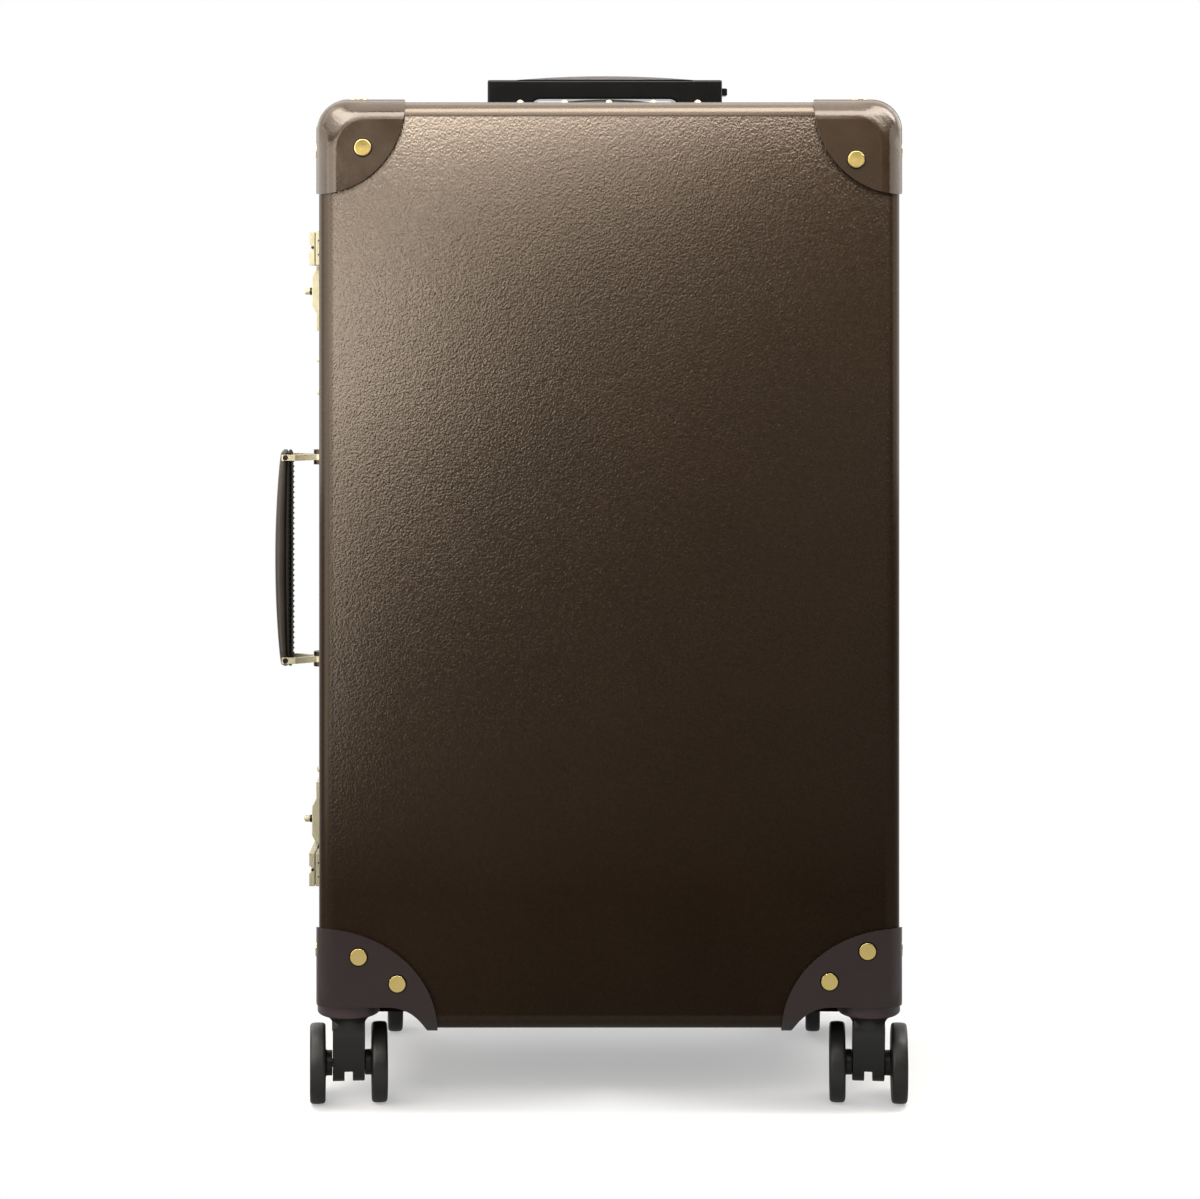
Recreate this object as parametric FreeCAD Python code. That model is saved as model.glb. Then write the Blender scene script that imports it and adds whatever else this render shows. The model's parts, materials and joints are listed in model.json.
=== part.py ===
import FreeCAD, Part
import math
import os

V = FreeCAD.Vector

# A hard-sided spinner suitcase with riveted leather corner caps, standing on its four casters.
# Millimetres. The origin is on the floor under the middle of the case, +X is the hinge side,
# -Y is the lid and +Z is up. A trailing _out is a distance outwards from the handle side of the case.

# Case body
case_width = 414.0
case_depth = 240.0
case_height = 660.0
ground_gap = 62.0
lid_depth = 64.0
wall = 3.0
face_edge_radius = 10.0
corner_radius = 20.0
seam_gap = 0.6
running_gap = 0.3
shaft_gap = 0.05

# Frames and linings inside the shells
frame_thick = 3.0
frame_depth = 8.0
lining_thick = 1.5

# Recesses under the four bottom corners, where the casters sit
notch_width = 77.0
notch_depth = 52.0
notch_height = 17.0
notch_arch = 26.5

# Leather corner caps: how far each reaches from its corner along X, Y and Z
cap_thick = 2.0
top_cap_reach = (62.0, 50.0, 66.0)
bottom_cap_reach = (85.0, 50.0, 73.0)

# Flat rivets of the caps: insets from the side and from the top or bottom edge
cap_rivet_radius = 6.0
cap_rivet_head = 1.2
cap_shank_radius = 2.0
cap_rivet_depth = 20.0
face_rivets = {
    "top_left": [(32.0, 33.0)],
    "top_right": [(32.0, 41.5)],
    "bottom_left": [(29.0, 53.0), (56.5, 34.0)],
    "bottom_right": [(24.0, 57.0), (51.0, 35.5)],
}
side_rivet_inset = {"top": 34.0, "bottom": 54.0}
top_rivet_inset = 28.0

# Small domed rivets along the rims
rim_rivet_radius = 2.6
rim_rivet_head = 2.3
rim_shank_radius = 1.2
rim_rivet_depth = 18.0
rim_rivet_pitch = 31.8
rim_rivet_count = 5
side_rivets_below_latch = (72.3, 48.8)
side_rivet_above_latch = 47.0

# Hinges on the +X side
hinge_heights = (180.0, 392.0, 604.0)
hinge_length = 50.0
hinge_leaf_width = 22.0
hinge_leaf_thick = 1.5
knuckle_radius = 3.2
hinge_pin_radius = 1.5
hinge_rivet_spread = 28.0
hinge_rivet_row = 13.0

# Latches on the -X side: sizes along Z are measured from the knob, towards the end with the flap
latch_below_top = 134.7
latch_above_bottom = 136.0
latch_plate_thick = 2.0
latch_plate_tail = 31.0
latch_plate_width = 28.0
lock_half_height = 16.4
lock_flat_half = 10.5
lock_width = 22.0
lock_out = 10.2
lock_shoulder_out = 7.2
lock_tail = 29.0
flap_length = 24.0
flap_out = 10.2
flap_thick = 4.0
flap_over_lid = 20.0
flap_waist_radius = 3.0
flap_pin_radius = 1.25
flap_barrel_radius = 3.2
ear_thick = 2.2
knob_travel = 6.0
knob_neck_radius = 1.6
knob_head_radius = 2.4
knob_out = 16.8
knob_head_height = 4.0
knob_crown_round = 1.6
slot_floor = 1.0
latch_spigot_radius = 2.5

# Side handle on the -X side
handle_height = 386.5
handle_pivot_spread = 152.2
handle_axis_out = 8.8
handle_pin_out = 33.8
grip_inner_out = 29.3
grip_end_out = 38.3
grip_bow = 4.3
grip_half_width = 11.0
grip_overhang = 3.4
grip_edge_radius = 3.5
bar_height = 4.5
bar_thick = 3.0
bar_root_extra = 0.5
bar_tip_taper = 0.001
bar_end = 3.0
bar_straight = 10.0
eye_radius = 5.0
bracket_pin_radius = 2.0
bracket_flange_radius = 9.0
bracket_flange_thick = 1.5
bracket_ear_thick = 3.0
bracket_ear_half = 5.0
bracket_spigot_radius = 4.0
strap_pin_radius = 2.0

# Casters
caster_inset_x = 20.0
caster_inset_y = 26.0
caster_trail = 14.0
caster_toe = 5.0
ring_radius = 22.5
ring_height = 10.3
ring_round = 2.5
kingpin_radius = 4.0
kingpin_depth = 19.0
fork_half_width = 11.5
fork_foot_radius = 13.0
fork_neck_radius = 11.0
fork_top_radius = 20.0
fork_flare = 12.0
fork_slot_width = 6.0
fork_slot_roof = 0.5
fork_bulge_out = 0.25
fork_bulge_down = 0.35
wheel_radius = 28.5
wheel_width = 11.5
wheel_offset = 16.5
wheel_edge_radius = 3.0
wheel_boss_radius = 9.0
wheel_groove_radius = 21.0
wheel_groove = 1.2
hub_cover = 1.7
axle_radius = 3.0
caster_screw_radius = 1.75
caster_screw_head_radius = 3.5
caster_screw_head = 2.0
caster_screw_circle = 15.0
caster_screw_depth = 6.0
caster_screws = 4

# Trolley handle in the back of the base
tube_x = 75.0
tube_inset = 40.0
tube_wall = 1.2
outer_tube = (26.0, 14.0)
slide_gap = 0.3
tube_stagger = 4.0
inner_tube_socket = 10.0
foot_height = 20.0
foot_floor = 5.0
foot_margin = 5.0
bezel_half_width = 104.0
bezel_front_inset = 74.0
bezel_back_inset = 8.0
bezel_thick = 3.0
bezel_corner = 12.0
bezel_lip_thick = 7.0
bezel_lip_setback = 2.0
bezel_lip_height = 14.0
bezel_lip_radius = 280.0
bezel_lip_round = 2.1
grip_half_length = 91.5
grip_opening_half = 58.0
grip_depth = 26.0
grip_seat = 1.0
grip_underside = 15.6
grip_top = 30.5
grip_round = 1.5
grip_opening_round = 8.0
pad_half_length = 68.5
pad_rise = 2.9
button_proud = 4.4
button_height = 5.9
button_width = 14.0
button_length = 16.0
button_height_centre = 21.5
button_travel = 4.0

# Cover panel and packing straps inside the base
cover_inset = 58.5
cover_thick = 3.0
strap_width = 25.0
strap_thick = 1.5
buckle_length = 44.0
buckle_height = 34.0
buckle_thick = 5.0

# Places that follow from the sizes above
side_x = case_width / 2
face_y = case_depth / 2
case_bottom = ground_gap
case_top = ground_gap + case_height
seam_y = lid_depth - face_y
lid_edge_y = seam_y - seam_gap / 2
base_edge_y = seam_y + seam_gap / 2
notch_top = case_bottom + notch_height
lining_gap = wall + running_gap
hinge_x = side_x + knuckle_radius + running_gap
latch_heights = {"upper": case_top - latch_below_top, "lower": case_bottom + latch_above_bottom}
side_rim_rivets = [latch_heights["lower"] + side_rivet_above_latch]
side_rim_rivets += [latch_heights["upper"] - below for below in side_rivets_below_latch]
tube_y = face_y - tube_inset
bezel_front = face_y - bezel_front_inset
bezel_back = face_y - bezel_back_inset
cover_y = face_y - cover_inset
beyond = 60.0
corners = {
    "top_left": (-1, 1),
    "top_right": (1, 1),
    "bottom_left": (-1, -1),
    "bottom_right": (1, -1),
}


def box(x, y, z):
    """A block between pairs of X, Y and Z values given in any order."""
    low = V(min(x), min(y), min(z))
    return Part.makeBox(max(x) - low.x, max(y) - low.y, max(z) - low.z, low)


def rod(radius, start, end):
    """A round bar from one point to another."""
    return Part.makeCylinder(radius, (end - start).Length, start, end - start)


def prism(points, along):
    """A flat polygon pushed along a vector."""
    return Part.Face(Part.makePolygon(points + points[:1])).extrude(along)


def union(shapes):
    """Shapes joined into one solid, without the seams between them."""
    return shapes[0].multiFuse(shapes[1:]).removeSplitter()


def edges_where(shape, test):
    """The straight or curved edges whose bounding box passes a test."""
    return [edge for edge in shape.Edges if test(edge.BoundBox)]


def export(name, *shapes):
    """One file for a piece, or for a group of like pieces."""
    solids = [solid for shape in shapes for solid in shape.Solids]
    shape = solids[0] if len(solids) == 1 else Part.Compound(solids)
    shape.exportStep("parts/" + name + ".step")


def link(first, first_radius, second, second_radius, along):
    """A plate with two round ends joined by their common tangents, as thick as along."""
    reach = second - first
    turn = math.degrees(math.acos((first_radius - second_radius) / reach.Length))
    normals = [FreeCAD.Rotation(along, sign * turn).multVec(reach / reach.Length) for sign in (1, -1)]
    outline = [
        first + normals[0] * first_radius,
        second + normals[0] * second_radius,
        second + normals[1] * second_radius,
        first + normals[1] * first_radius,
    ]
    ends = [rod(first_radius, first, first + along), rod(second_radius, second, second + along)]
    return union([prism(outline, along)] + ends)


# Shells


def case_block(grow):
    """The whole case as one rounded block, with every face moved outwards by grow."""
    block = box(
        (-side_x - grow, side_x + grow),
        (-face_y - grow, face_y + grow),
        (case_bottom - grow, case_top + grow),
    )
    long_edges = edges_where(block, lambda b: b.XLength + b.ZLength < 0.001)
    block = block.makeFillet(corner_radius + grow, long_edges)
    rims = edges_where(block, lambda b: b.YLength < 0.001)
    return block.makeFillet(face_edge_radius + grow, rims)


def notch(sx, sy, grow):
    """The caster recess of one bottom corner, arched at its inner end, as a solid to cut away."""
    arch_x = sx * (side_x - notch_width + notch_arch)
    arch_radius = (notch_arch ** 2 + notch_height ** 2) / (2 * notch_height)
    near_y = sy * (face_y - notch_depth - grow)
    far_y = sy * (face_y + beyond)
    recess = box((arch_x, sx * (side_x + beyond)), (near_y, far_y), (case_bottom - beyond, notch_top + grow))
    centre_z = notch_top - arch_radius
    arch = rod(arch_radius + grow, V(arch_x, near_y, centre_z), V(arch_x, far_y, centre_z))
    return union([recess, arch])


def notches(grow):
    return [notch(sx, sy, grow) for sx in (-1, 1) for sy in (-1, 1)]


def slab(y_from, y_to):
    """All the space between two planes square to Y."""
    wide = side_x + beyond
    return box((-wide, wide), (y_from, y_to), (case_bottom - beyond, case_top + beyond))


lid_space = slab(-face_y - beyond, lid_edge_y)
base_space = slab(base_edge_y, face_y + beyond)


def both_shells():
    """The lid and base walls, cut apart at the seam, before any hole is made."""
    outside = case_block(0).cut(notches(0))
    inside = case_block(-wall).cut(notches(wall))
    walls = outside.cut(inside)
    return walls.common(lid_space), walls.common(base_space)


def frames():
    """The flat rims that stiffen the mouths of the two shells."""
    ring = case_block(-wall).cut(case_block(-wall - frame_thick))
    lid = ring.common(slab(lid_edge_y - frame_depth, lid_edge_y))
    base = ring.common(slab(base_edge_y, base_edge_y + frame_depth))
    return lid, base


def linings():
    """Cloth-covered liners: a tray in the lid and a four-sided band in the base."""
    over_screws = caster_screw_head + running_gap
    outside = case_block(-lining_gap).cut(notches(lining_gap + over_screws))
    inside = case_block(-lining_gap - lining_thick)
    inside = inside.cut(notches(lining_gap + over_screws + lining_thick))
    skin = outside.cut(inside)
    lid = skin.common(slab(-face_y - beyond, lid_edge_y - frame_depth - running_gap))
    base = skin.common(slab(base_edge_y + frame_depth + running_gap, cover_y - running_gap))
    return lid, base


# Corner caps and rivets


def ellipse_prism(centre, first, second, along):
    """A bar of elliptic section, given its centre, two half axes and half its length."""
    if first.Length < second.Length:
        first, second = second, first
    curve = Part.Ellipse(centre + first, centre + second, centre)
    face = Part.Face(Part.Wire(curve.toShape()))
    face.translate(-along)
    return face.extrude(along * 2)


def corner_cap(skin, sx, sy, sz):
    """One leather cap: a quarter ellipse on each of the three faces that meet at a corner."""
    reach = top_cap_reach if sz > 0 else bottom_cap_reach
    corner = V(sx * side_x, sy * face_y, case_top if sz > 0 else case_bottom)
    half = [V(reach[0], 0, 0), V(0, reach[1], 0), V(0, 0, reach[2])]
    region = ellipse_prism(corner, half[0], half[2], half[1] * 1.5)
    region = region.common(ellipse_prism(corner, half[1], half[2], half[0] * 1.5))
    region = region.common(ellipse_prism(corner, half[0], half[1], half[2] * 1.5))
    cap = skin.common(region)
    return cap.cut(notch(sx, sy, 0)) if sz < 0 else cap


def cap_rivet_spots(name, sy):
    """Places on the case surface, with outward directions, for the rivets of one cap."""
    sx, sz = corners[name]
    edge_z = case_top if sz > 0 else case_bottom
    level = name.split("_")[0]
    depth_y = sy * (face_y - cap_rivet_depth)
    spots = []
    for inset_x, inset_z in face_rivets[name]:
        spots.append((V(sx * (side_x - inset_x), sy * face_y, edge_z - sz * inset_z), V(0, sy, 0)))
    spots.append((V(sx * side_x, depth_y, edge_z - sz * side_rivet_inset[level]), V(sx, 0, 0)))
    if sz > 0:
        spots.append((V(sx * (side_x - top_rivet_inset), depth_y, case_top), V(0, 0, 1)))
    return spots


def flat_rivet(spot, out):
    """A flat-headed rivet through a cap and the wall behind it."""
    seat = spot + out * cap_thick
    head = rod(cap_rivet_radius, seat, seat + out * cap_rivet_head)
    far = max(head.Edges, key=lambda e: (e.CenterOfMass - spot).dot(out))
    head = head.makeFillet(cap_rivet_head / 2, [far])
    return union([head, cap_rivet_hole(spot, out)])


def cap_rivet_hole(spot, out):
    return rod(cap_shank_radius, spot - out * wall, spot + out * cap_thick)


def domed_rivet(seat, out, grip):
    """A small domed rivet on a face, with its shank through grip of material."""
    radius = (rim_rivet_radius ** 2 + rim_rivet_head ** 2) / (2 * rim_rivet_head)
    ball = Part.makeSphere(radius, seat + out * (rim_rivet_head - radius))
    head = ball.common(rod(rim_rivet_radius, seat, seat + out * (rim_rivet_head + 1)))
    return union([head, rod(rim_shank_radius, seat - out * grip, seat)])


def rim_spots(sy):
    """Places on the top and the handle side for the small rivets; the base has its own at the frame."""
    y = rim_rivet_depth - face_y if sy < 0 else base_edge_y + frame_depth / 2
    first = -(rim_rivet_count - 1) / 2
    spots = [
        (V((first + step) * rim_rivet_pitch, y, case_top), V(0, 0, 1)) for step in range(rim_rivet_count)
    ]
    spots += [(V(-side_x, y, height), V(-1, 0, 0)) for height in side_rim_rivets]
    return spots


def rim_hole(spot, out):
    return rod(rim_shank_radius, spot - out * wall, spot)


# Hinges


def hinge_rivet_spots(sy):
    """Rivet places on the case side for the leaves of all hinges; sy is -1 for the lid leaves."""
    y = seam_y + sy * hinge_rivet_row
    out = V(1, 0, 0)
    return [
        (V(side_x, y, z + up * hinge_rivet_spread / 2), out) for z in hinge_heights for up in (-1, 1)
    ]


def knuckle_levels(z, owner):
    """The heights of one hinge's knuckles: the base owns both ends, the lid the middle."""
    third = hinge_length / 3
    low = z - hinge_length / 2
    if owner > 0:
        return [(low, low + third - running_gap), (low + 2 * third + running_gap, low + hinge_length)]
    return [(low + third + running_gap, low + 2 * third - running_gap)]


def hinge_rod(radius, low, high):
    """A round bar on the hinge axis."""
    return rod(radius, V(hinge_x, seam_y, low), V(hinge_x, seam_y, high))


def hinge_leaf(z, owner):
    """One leaf with its knuckles; owner is 1 for the base leaf and -1 for the lid leaf."""
    low = z - hinge_length / 2
    edge = seam_y + owner * running_gap
    leaf = box(
        (side_x, side_x + hinge_leaf_thick),
        (edge, seam_y + owner * hinge_leaf_width),
        (low, low + hinge_length),
    )
    for a, b in knuckle_levels(z, -owner):
        leaf = leaf.cut(hinge_rod(knuckle_radius + running_gap, a - running_gap, b + running_gap))
    knuckles = [hinge_rod(knuckle_radius, a, b) for a, b in knuckle_levels(z, owner)]
    bore_radius = hinge_pin_radius if owner > 0 else hinge_pin_radius + shaft_gap
    bore = hinge_rod(bore_radius, low, low + hinge_length)
    holes = [
        rod(rim_shank_radius, spot, spot + out * hinge_leaf_thick) for spot, out in hinge_rivet_spots(owner)
    ]
    return union([leaf] + knuckles).cut([bore] + holes)


def hinge_pin(z):
    return hinge_rod(hinge_pin_radius, z - hinge_length / 2, z + hinge_length / 2)


def hinge_rivets(sy):
    out = V(1, 0, 0)
    grip = wall + hinge_leaf_thick
    return [domed_rivet(spot + out * hinge_leaf_thick, out, grip) for spot, out in hinge_rivet_spots(sy)]


# Latches

flap_start = lock_half_height + ear_thick + running_gap
flap_end = flap_start + flap_length
flap_axis_out = latch_plate_thick + flap_barrel_radius + 2 * running_gap
flap_axis_y = base_edge_y + latch_plate_width - flap_barrel_radius - 1
flap_under_out = flap_out - flap_thick
catch_out = flap_under_out - 2 * running_gap
lock_y = (base_edge_y + 2, base_edge_y + 2 + lock_width)
knob_y = (lock_y[0] + lock_y[1]) / 2
spigot_levels = (-latch_plate_tail + 6, flap_end - 4)


def side_box(out, y, z):
    """A block on the handle side, with its X limits as distances outwards."""
    return box((-side_x - out[0], -side_x - out[1]), y, z)


def latch_spigot(name, sign, level, y):
    """A round spigot through the case wall behind a latch plate."""
    z = latch_heights[name] + sign * level
    return rod(latch_spigot_radius, V(-side_x + wall, y, z), V(-side_x, y, z))


def latch_spigots(name, sign):
    return [latch_spigot(name, sign, level, knob_y) for level in spigot_levels]


def lock_block(z, sign):
    """The lock housing: a flat top that slopes down at both ends, with a lower step at the tail."""
    profile = [
        (latch_plate_thick, lock_half_height),
        (lock_shoulder_out, lock_half_height),
        (lock_out, lock_flat_half),
        (lock_out, -lock_flat_half),
        (lock_shoulder_out, -lock_half_height),
        (lock_shoulder_out, -lock_tail),
        (latch_plate_thick, -lock_tail),
    ]
    points = [V(-side_x - out, lock_y[0], z + sign * along) for out, along in profile]
    return prism(points, V(0, lock_y[1] - lock_y[0], 0))


def latch_body(name, sign):
    """The lock on the base: back plate, chamfered block with a slot, and ears with a pin for the flap."""
    z = latch_heights[name]
    plate_y = (base_edge_y, base_edge_y + latch_plate_width)
    plate_z = (z - sign * latch_plate_tail, z + sign * (flap_end + running_gap + ear_thick))
    plate = side_box((0, latch_plate_thick), plate_y, plate_z)
    block = lock_block(z, sign)
    ear_y = (flap_axis_y - flap_barrel_radius, plate_y[1])
    ear_out = (latch_plate_thick, flap_axis_out + flap_barrel_radius)
    ears = []
    for start in (lock_half_height, flap_end + running_gap):
        ears.append(side_box(ear_out, ear_y, (z + sign * start, z + sign * (start + ear_thick))))
    pin_x = -side_x - flap_axis_out
    pin_from = V(pin_x, flap_axis_y, z + sign * lock_half_height)
    pin_to = V(pin_x, flap_axis_y, plate_z[1])
    pin = rod(flap_pin_radius, pin_from, pin_to)
    body = union([plate, block, pin] + ears + latch_spigots(name, sign))
    slot_half = knob_neck_radius + running_gap
    slot = side_box(
        (latch_plate_thick + slot_floor, lock_out),
        (knob_y - slot_half, knob_y + slot_half),
        (z + sign * slot_half, z - sign * (slot_half + knob_travel)),
    )
    return body.cut(slot)


def latch_knob(name):
    """The sliding knob: a neck in the slot of the lock and a domed head."""
    z = latch_heights[name]
    root = V(-side_x - latch_plate_thick - slot_floor - running_gap, knob_y, z)
    shoulder = V(-side_x - knob_out + knob_head_height, knob_y, z)
    top = V(-side_x - knob_out, knob_y, z)
    head = rod(knob_head_radius, shoulder, top)
    crown = min(head.Edges, key=lambda e: e.CenterOfMass.x)
    head = head.makeFillet(knob_crown_round, [crown])
    return union([rod(knob_neck_radius, root, shoulder), head])


def latch_flap(name, sign):
    """The hinged hasp that lies across the seam over the catch on the lid."""
    z = latch_heights[name]
    ends = (z + sign * flap_start, z + sign * flap_end)
    nose_y = lid_edge_y - flap_over_lid
    plate = side_box((flap_under_out, flap_out), (nose_y, flap_axis_y), ends)
    middle = (ends[0] + ends[1]) / 2
    waist_at = V(-side_x - flap_out - 1, nose_y, middle)
    waist = rod(flap_waist_radius, waist_at, waist_at + V(0, flap_axis_y - nose_y, 0))
    barrel_ends = [V(-side_x - flap_axis_out, flap_axis_y, end) for end in ends]
    barrel = rod(flap_barrel_radius, *barrel_ends)
    web = side_box((flap_axis_out, flap_out), (flap_axis_y - flap_barrel_radius, flap_axis_y), ends)
    bore = rod(flap_pin_radius + shaft_gap, *barrel_ends)
    return union([plate, web, barrel]).cut([waist, bore])


def lid_catch(name, sign):
    """The block on the lid that the flap lies over, with a spigot through the lid wall."""
    z = latch_heights[name]
    ends = (z + sign * flap_start, z + sign * flap_end)
    y = (lid_edge_y - flap_over_lid, lid_edge_y - 2)
    return union([side_box((0, catch_out), y, ends), catch_spigot(name, sign)])


def catch_spigot(name, sign):
    y = lid_edge_y - frame_depth - latch_spigot_radius - 2
    return latch_spigot(name, sign, (flap_start + flap_end) / 2, y)


# Side handle


def handle_levels():
    return [handle_height + up * handle_pivot_spread / 2 for up in (-1, 1)]


def handle_grip():
    """The leather grip: straight inside, bowed outside, with a hole for a pin at each end."""
    half = handle_pivot_spread / 2 + grip_overhang
    inner_x = -side_x - grip_inner_out
    end_x = -side_x - grip_end_out
    y = -grip_half_width
    points = [
        V(end_x, y, handle_height - half),
        V(inner_x, y, handle_height - half),
        V(inner_x, y, handle_height + half),
        V(end_x, y, handle_height + half),
    ]
    bow = Part.Arc(points[3], V(end_x - grip_bow, y, handle_height), points[0]).toShape()
    outline = Part.Wire([Part.makeLine(a, b) for a, b in zip(points, points[1:])] + [bow])
    grip = Part.Face(outline).extrude(V(0, 2 * grip_half_width, 0))
    rims = edges_where(grip, lambda b: b.YLength < 0.001 and b.ZLength > half)
    return grip.makeFillet(grip_edge_radius, rims).cut(strap_pins())


def strap_pins():
    x = -side_x - handle_pin_out
    reach = V(0, grip_half_width + running_gap + bar_thick, 0)
    return [rod(strap_pin_radius, V(x, 0, z) - reach, V(x, 0, z) + reach) for z in handle_levels()]


def stirrup(z):
    """A forked bar: an eye on the bracket pin and two arms that spread to hold the grip."""
    axis = V(-side_x - handle_axis_out, 0, z - bar_height / 2)
    thick = V(0, 0, bar_height)
    arm_y = grip_half_width + running_gap + bar_thick / 2
    tip_x = -side_x - handle_pin_out - bar_end
    pieces = [rod(eye_radius, axis, axis + thick)]
    for sign in (-1, 1):
        bend = V(tip_x + bar_straight, sign * arm_y, axis.z)
        tip = V(tip_x + bar_thick / 2, sign * arm_y, axis.z)
        pieces.append(link(axis, bar_thick / 2 + bar_root_extra, bend, bar_thick / 2, thick))
        pieces.append(link(bend, bar_thick / 2, tip, bar_thick / 2 - bar_tip_taper, thick))
    bore = rod(bracket_pin_radius + shaft_gap, axis, axis + thick)
    return union(pieces).cut([bore] + strap_pins())


def handle_bracket(z):
    """A flared foot on the case side with two ears and the pin that the stirrup turns on."""
    half = bar_height / 2 + running_gap
    outer = half + bracket_ear_thick
    x = -side_x
    rim = bracket_flange_radius - bracket_flange_thick
    flange = Part.makeCone(bracket_flange_radius, rim, bracket_flange_thick, V(x, 0, z), V(-1, 0, 0))
    axis_x = x - handle_axis_out
    ears = []
    for low in (z - outer, z + half):
        high = low + bracket_ear_thick
        ear = side_box((0, handle_axis_out), (-bracket_ear_half, bracket_ear_half), (low, high))
        nose = rod(bracket_ear_half, V(axis_x, 0, low), V(axis_x, 0, high))
        ears.append(ear.fuse(nose))
    eye_space = rod(eye_radius + running_gap, V(axis_x, 0, z - half), V(axis_x, 0, z + half))
    pin = rod(bracket_pin_radius, V(axis_x, 0, z - outer), V(axis_x, 0, z + outer))
    return union([flange.cut(eye_space), pin, bracket_spigot(z)] + ears)


def bracket_spigot(z):
    return rod(bracket_spigot_radius, V(-side_x + wall, 0, z), V(-side_x, 0, z))


# Casters

ring_bottom = notch_top - ring_height
fork_top = ring_bottom - running_gap
wheel_outer = wheel_offset + wheel_width


def caster_centre(sx, sy):
    return V(sx * (side_x - caster_inset_x), sy * (face_y - caster_inset_y), 0)


def toed(shape, sx, sy):
    """A turning piece of a caster, swivelled a little so that the wheels of both sides point inwards."""
    turned = shape.copy()
    turned.rotate(caster_centre(sx, sy), V(0, 0, 1), -sx * caster_toe)
    return turned


def caster_mount(sx, sy):
    """The fixed ring under the case with the kingpin that the fork turns on."""
    c = caster_centre(sx, sy)
    ring = rod(ring_radius, c + V(0, 0, ring_bottom), c + V(0, 0, notch_top))
    lower = edges_where(ring, lambda b: b.ZLength < 0.001 and abs(b.ZMin - ring_bottom) < 0.001)
    ring = ring.makeFillet(ring_round, lower)
    kingpin = rod(kingpin_radius, c + V(0, 0, ring_bottom - kingpin_depth), c + V(0, 0, notch_top))
    return union([ring, kingpin]).cut(caster_screw_shanks(sx, sy))


def caster_screw_spots(sx, sy):
    """Screw places on a square round the kingpin, on the wall above the ring."""
    c = caster_centre(sx, sy) + V(0, 0, notch_top + wall)
    turns = [math.tau * (step + 0.5) / caster_screws for step in range(caster_screws)]
    return [c + V(math.cos(a), math.sin(a), 0) * caster_screw_circle for a in turns]


def caster_screw_shanks(sx, sy):
    down = V(0, 0, -wall - caster_screw_depth)
    return [rod(caster_screw_radius, spot, spot + down) for spot in caster_screw_spots(sx, sy)]


def caster_screw_group(sx, sy):
    """Screws that hold one ring from inside the case."""
    up = V(0, 0, caster_screw_head)
    heads = [rod(caster_screw_head_radius, spot, spot + up) for spot in caster_screw_spots(sx, sy)]
    return [union(pair) for pair in zip(heads, caster_screw_shanks(sx, sy))]


def caster_fork(sx, sy):
    """The swivelling fork: a trumpet neck under the ring and a foot that trails to the axle."""
    c = caster_centre(sx, sy)
    neck_z = fork_top - fork_flare
    flare = fork_top_radius - fork_neck_radius
    bulge = V(fork_neck_radius + flare * fork_bulge_out, 0, fork_top - fork_flare * fork_bulge_down)
    profile = [
        Part.makeLine(V(0, 0, neck_z), V(fork_neck_radius, 0, neck_z)),
        Part.Arc(V(fork_neck_radius, 0, neck_z), bulge, V(fork_top_radius, 0, fork_top)).toShape(),
        Part.makeLine(V(fork_top_radius, 0, fork_top), V(0, 0, fork_top)),
        Part.makeLine(V(0, 0, fork_top), V(0, 0, neck_z)),
    ]
    trumpet = Part.Face(Part.Wire(profile)).revolve(V(0, 0, 0), V(0, 0, 1), 360)
    trumpet.translate(c)
    across = V(2 * fork_half_width, 0, 0)
    start = c - V(fork_half_width, 0, 0)
    axle_at = start + V(0, caster_trail, wheel_radius)
    foot = link(start + V(0, 0, neck_z), fork_neck_radius, axle_at, fork_foot_radius, across)
    slot_top = wheel_radius - axle_radius - fork_slot_roof
    slot = box(
        (c.x - fork_slot_width / 2, c.x + fork_slot_width / 2),
        (c.y + caster_trail - 2 * fork_foot_radius, c.y + caster_trail + 2 * fork_foot_radius),
        (0, slot_top),
    )
    bore_low = ring_bottom - kingpin_depth - running_gap
    bore = rod(kingpin_radius + shaft_gap, c + V(0, 0, bore_low), c + V(0, 0, fork_top))
    return union([trumpet, foot]).cut([slot, bore, caster_axle(sx, sy)])


def caster_axle(sx, sy):
    c = caster_centre(sx, sy) + V(0, caster_trail, wheel_radius)
    reach = V(wheel_outer - hub_cover - running_gap, 0, 0)
    return rod(axle_radius, c - reach, c + reach)


def caster_wheels(sx, sy):
    """The pair of wheels of one caster, each with a hub boss towards the fork."""
    return [wheel(sx, sy, sign) for sign in (-1, 1)]


def wheel(sx, sy, sign):
    c = caster_centre(sx, sy) + V(0, caster_trail, wheel_radius)
    out = V(sign, 0, 0)
    inner = c + out * wheel_offset
    outer = c + out * wheel_outer
    disc = rod(wheel_radius, inner, outer)
    rims = edges_where(disc, lambda b: b.XLength < 0.001)
    disc = disc.makeFillet(wheel_edge_radius, rims)
    groove = rod(wheel_groove_radius, outer - out * wheel_groove, outer)
    groove = groove.cut(rod(wheel_groove_radius - wheel_groove, outer - out * wheel_groove, outer))
    boss = rod(wheel_boss_radius, c + out * (fork_half_width + running_gap), inner)
    bore = rod(axle_radius + shaft_gap, c + out * fork_half_width, outer - out * hub_cover)
    return union([disc, boss]).cut([groove, bore])


# Trolley handle

middle_tube = tuple(size - 2 * (tube_wall + slide_gap) for size in outer_tube)
inner_tube = tuple(size - 2 * (tube_wall + slide_gap) for size in middle_tube)
bezel_top = case_top + bezel_thick
grip_floor = bezel_top + grip_seat
foot_bottom = case_bottom + wall
tube_bottom = foot_bottom + foot_floor


def tube_block(size, sx, low, high):
    """A solid bar of a tube's outside size on one side of the trolley."""
    x = sx * tube_x
    return box((x - size[0] / 2, x + size[0] / 2), (tube_y - size[1] / 2, tube_y + size[1] / 2), (low, high))


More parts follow.
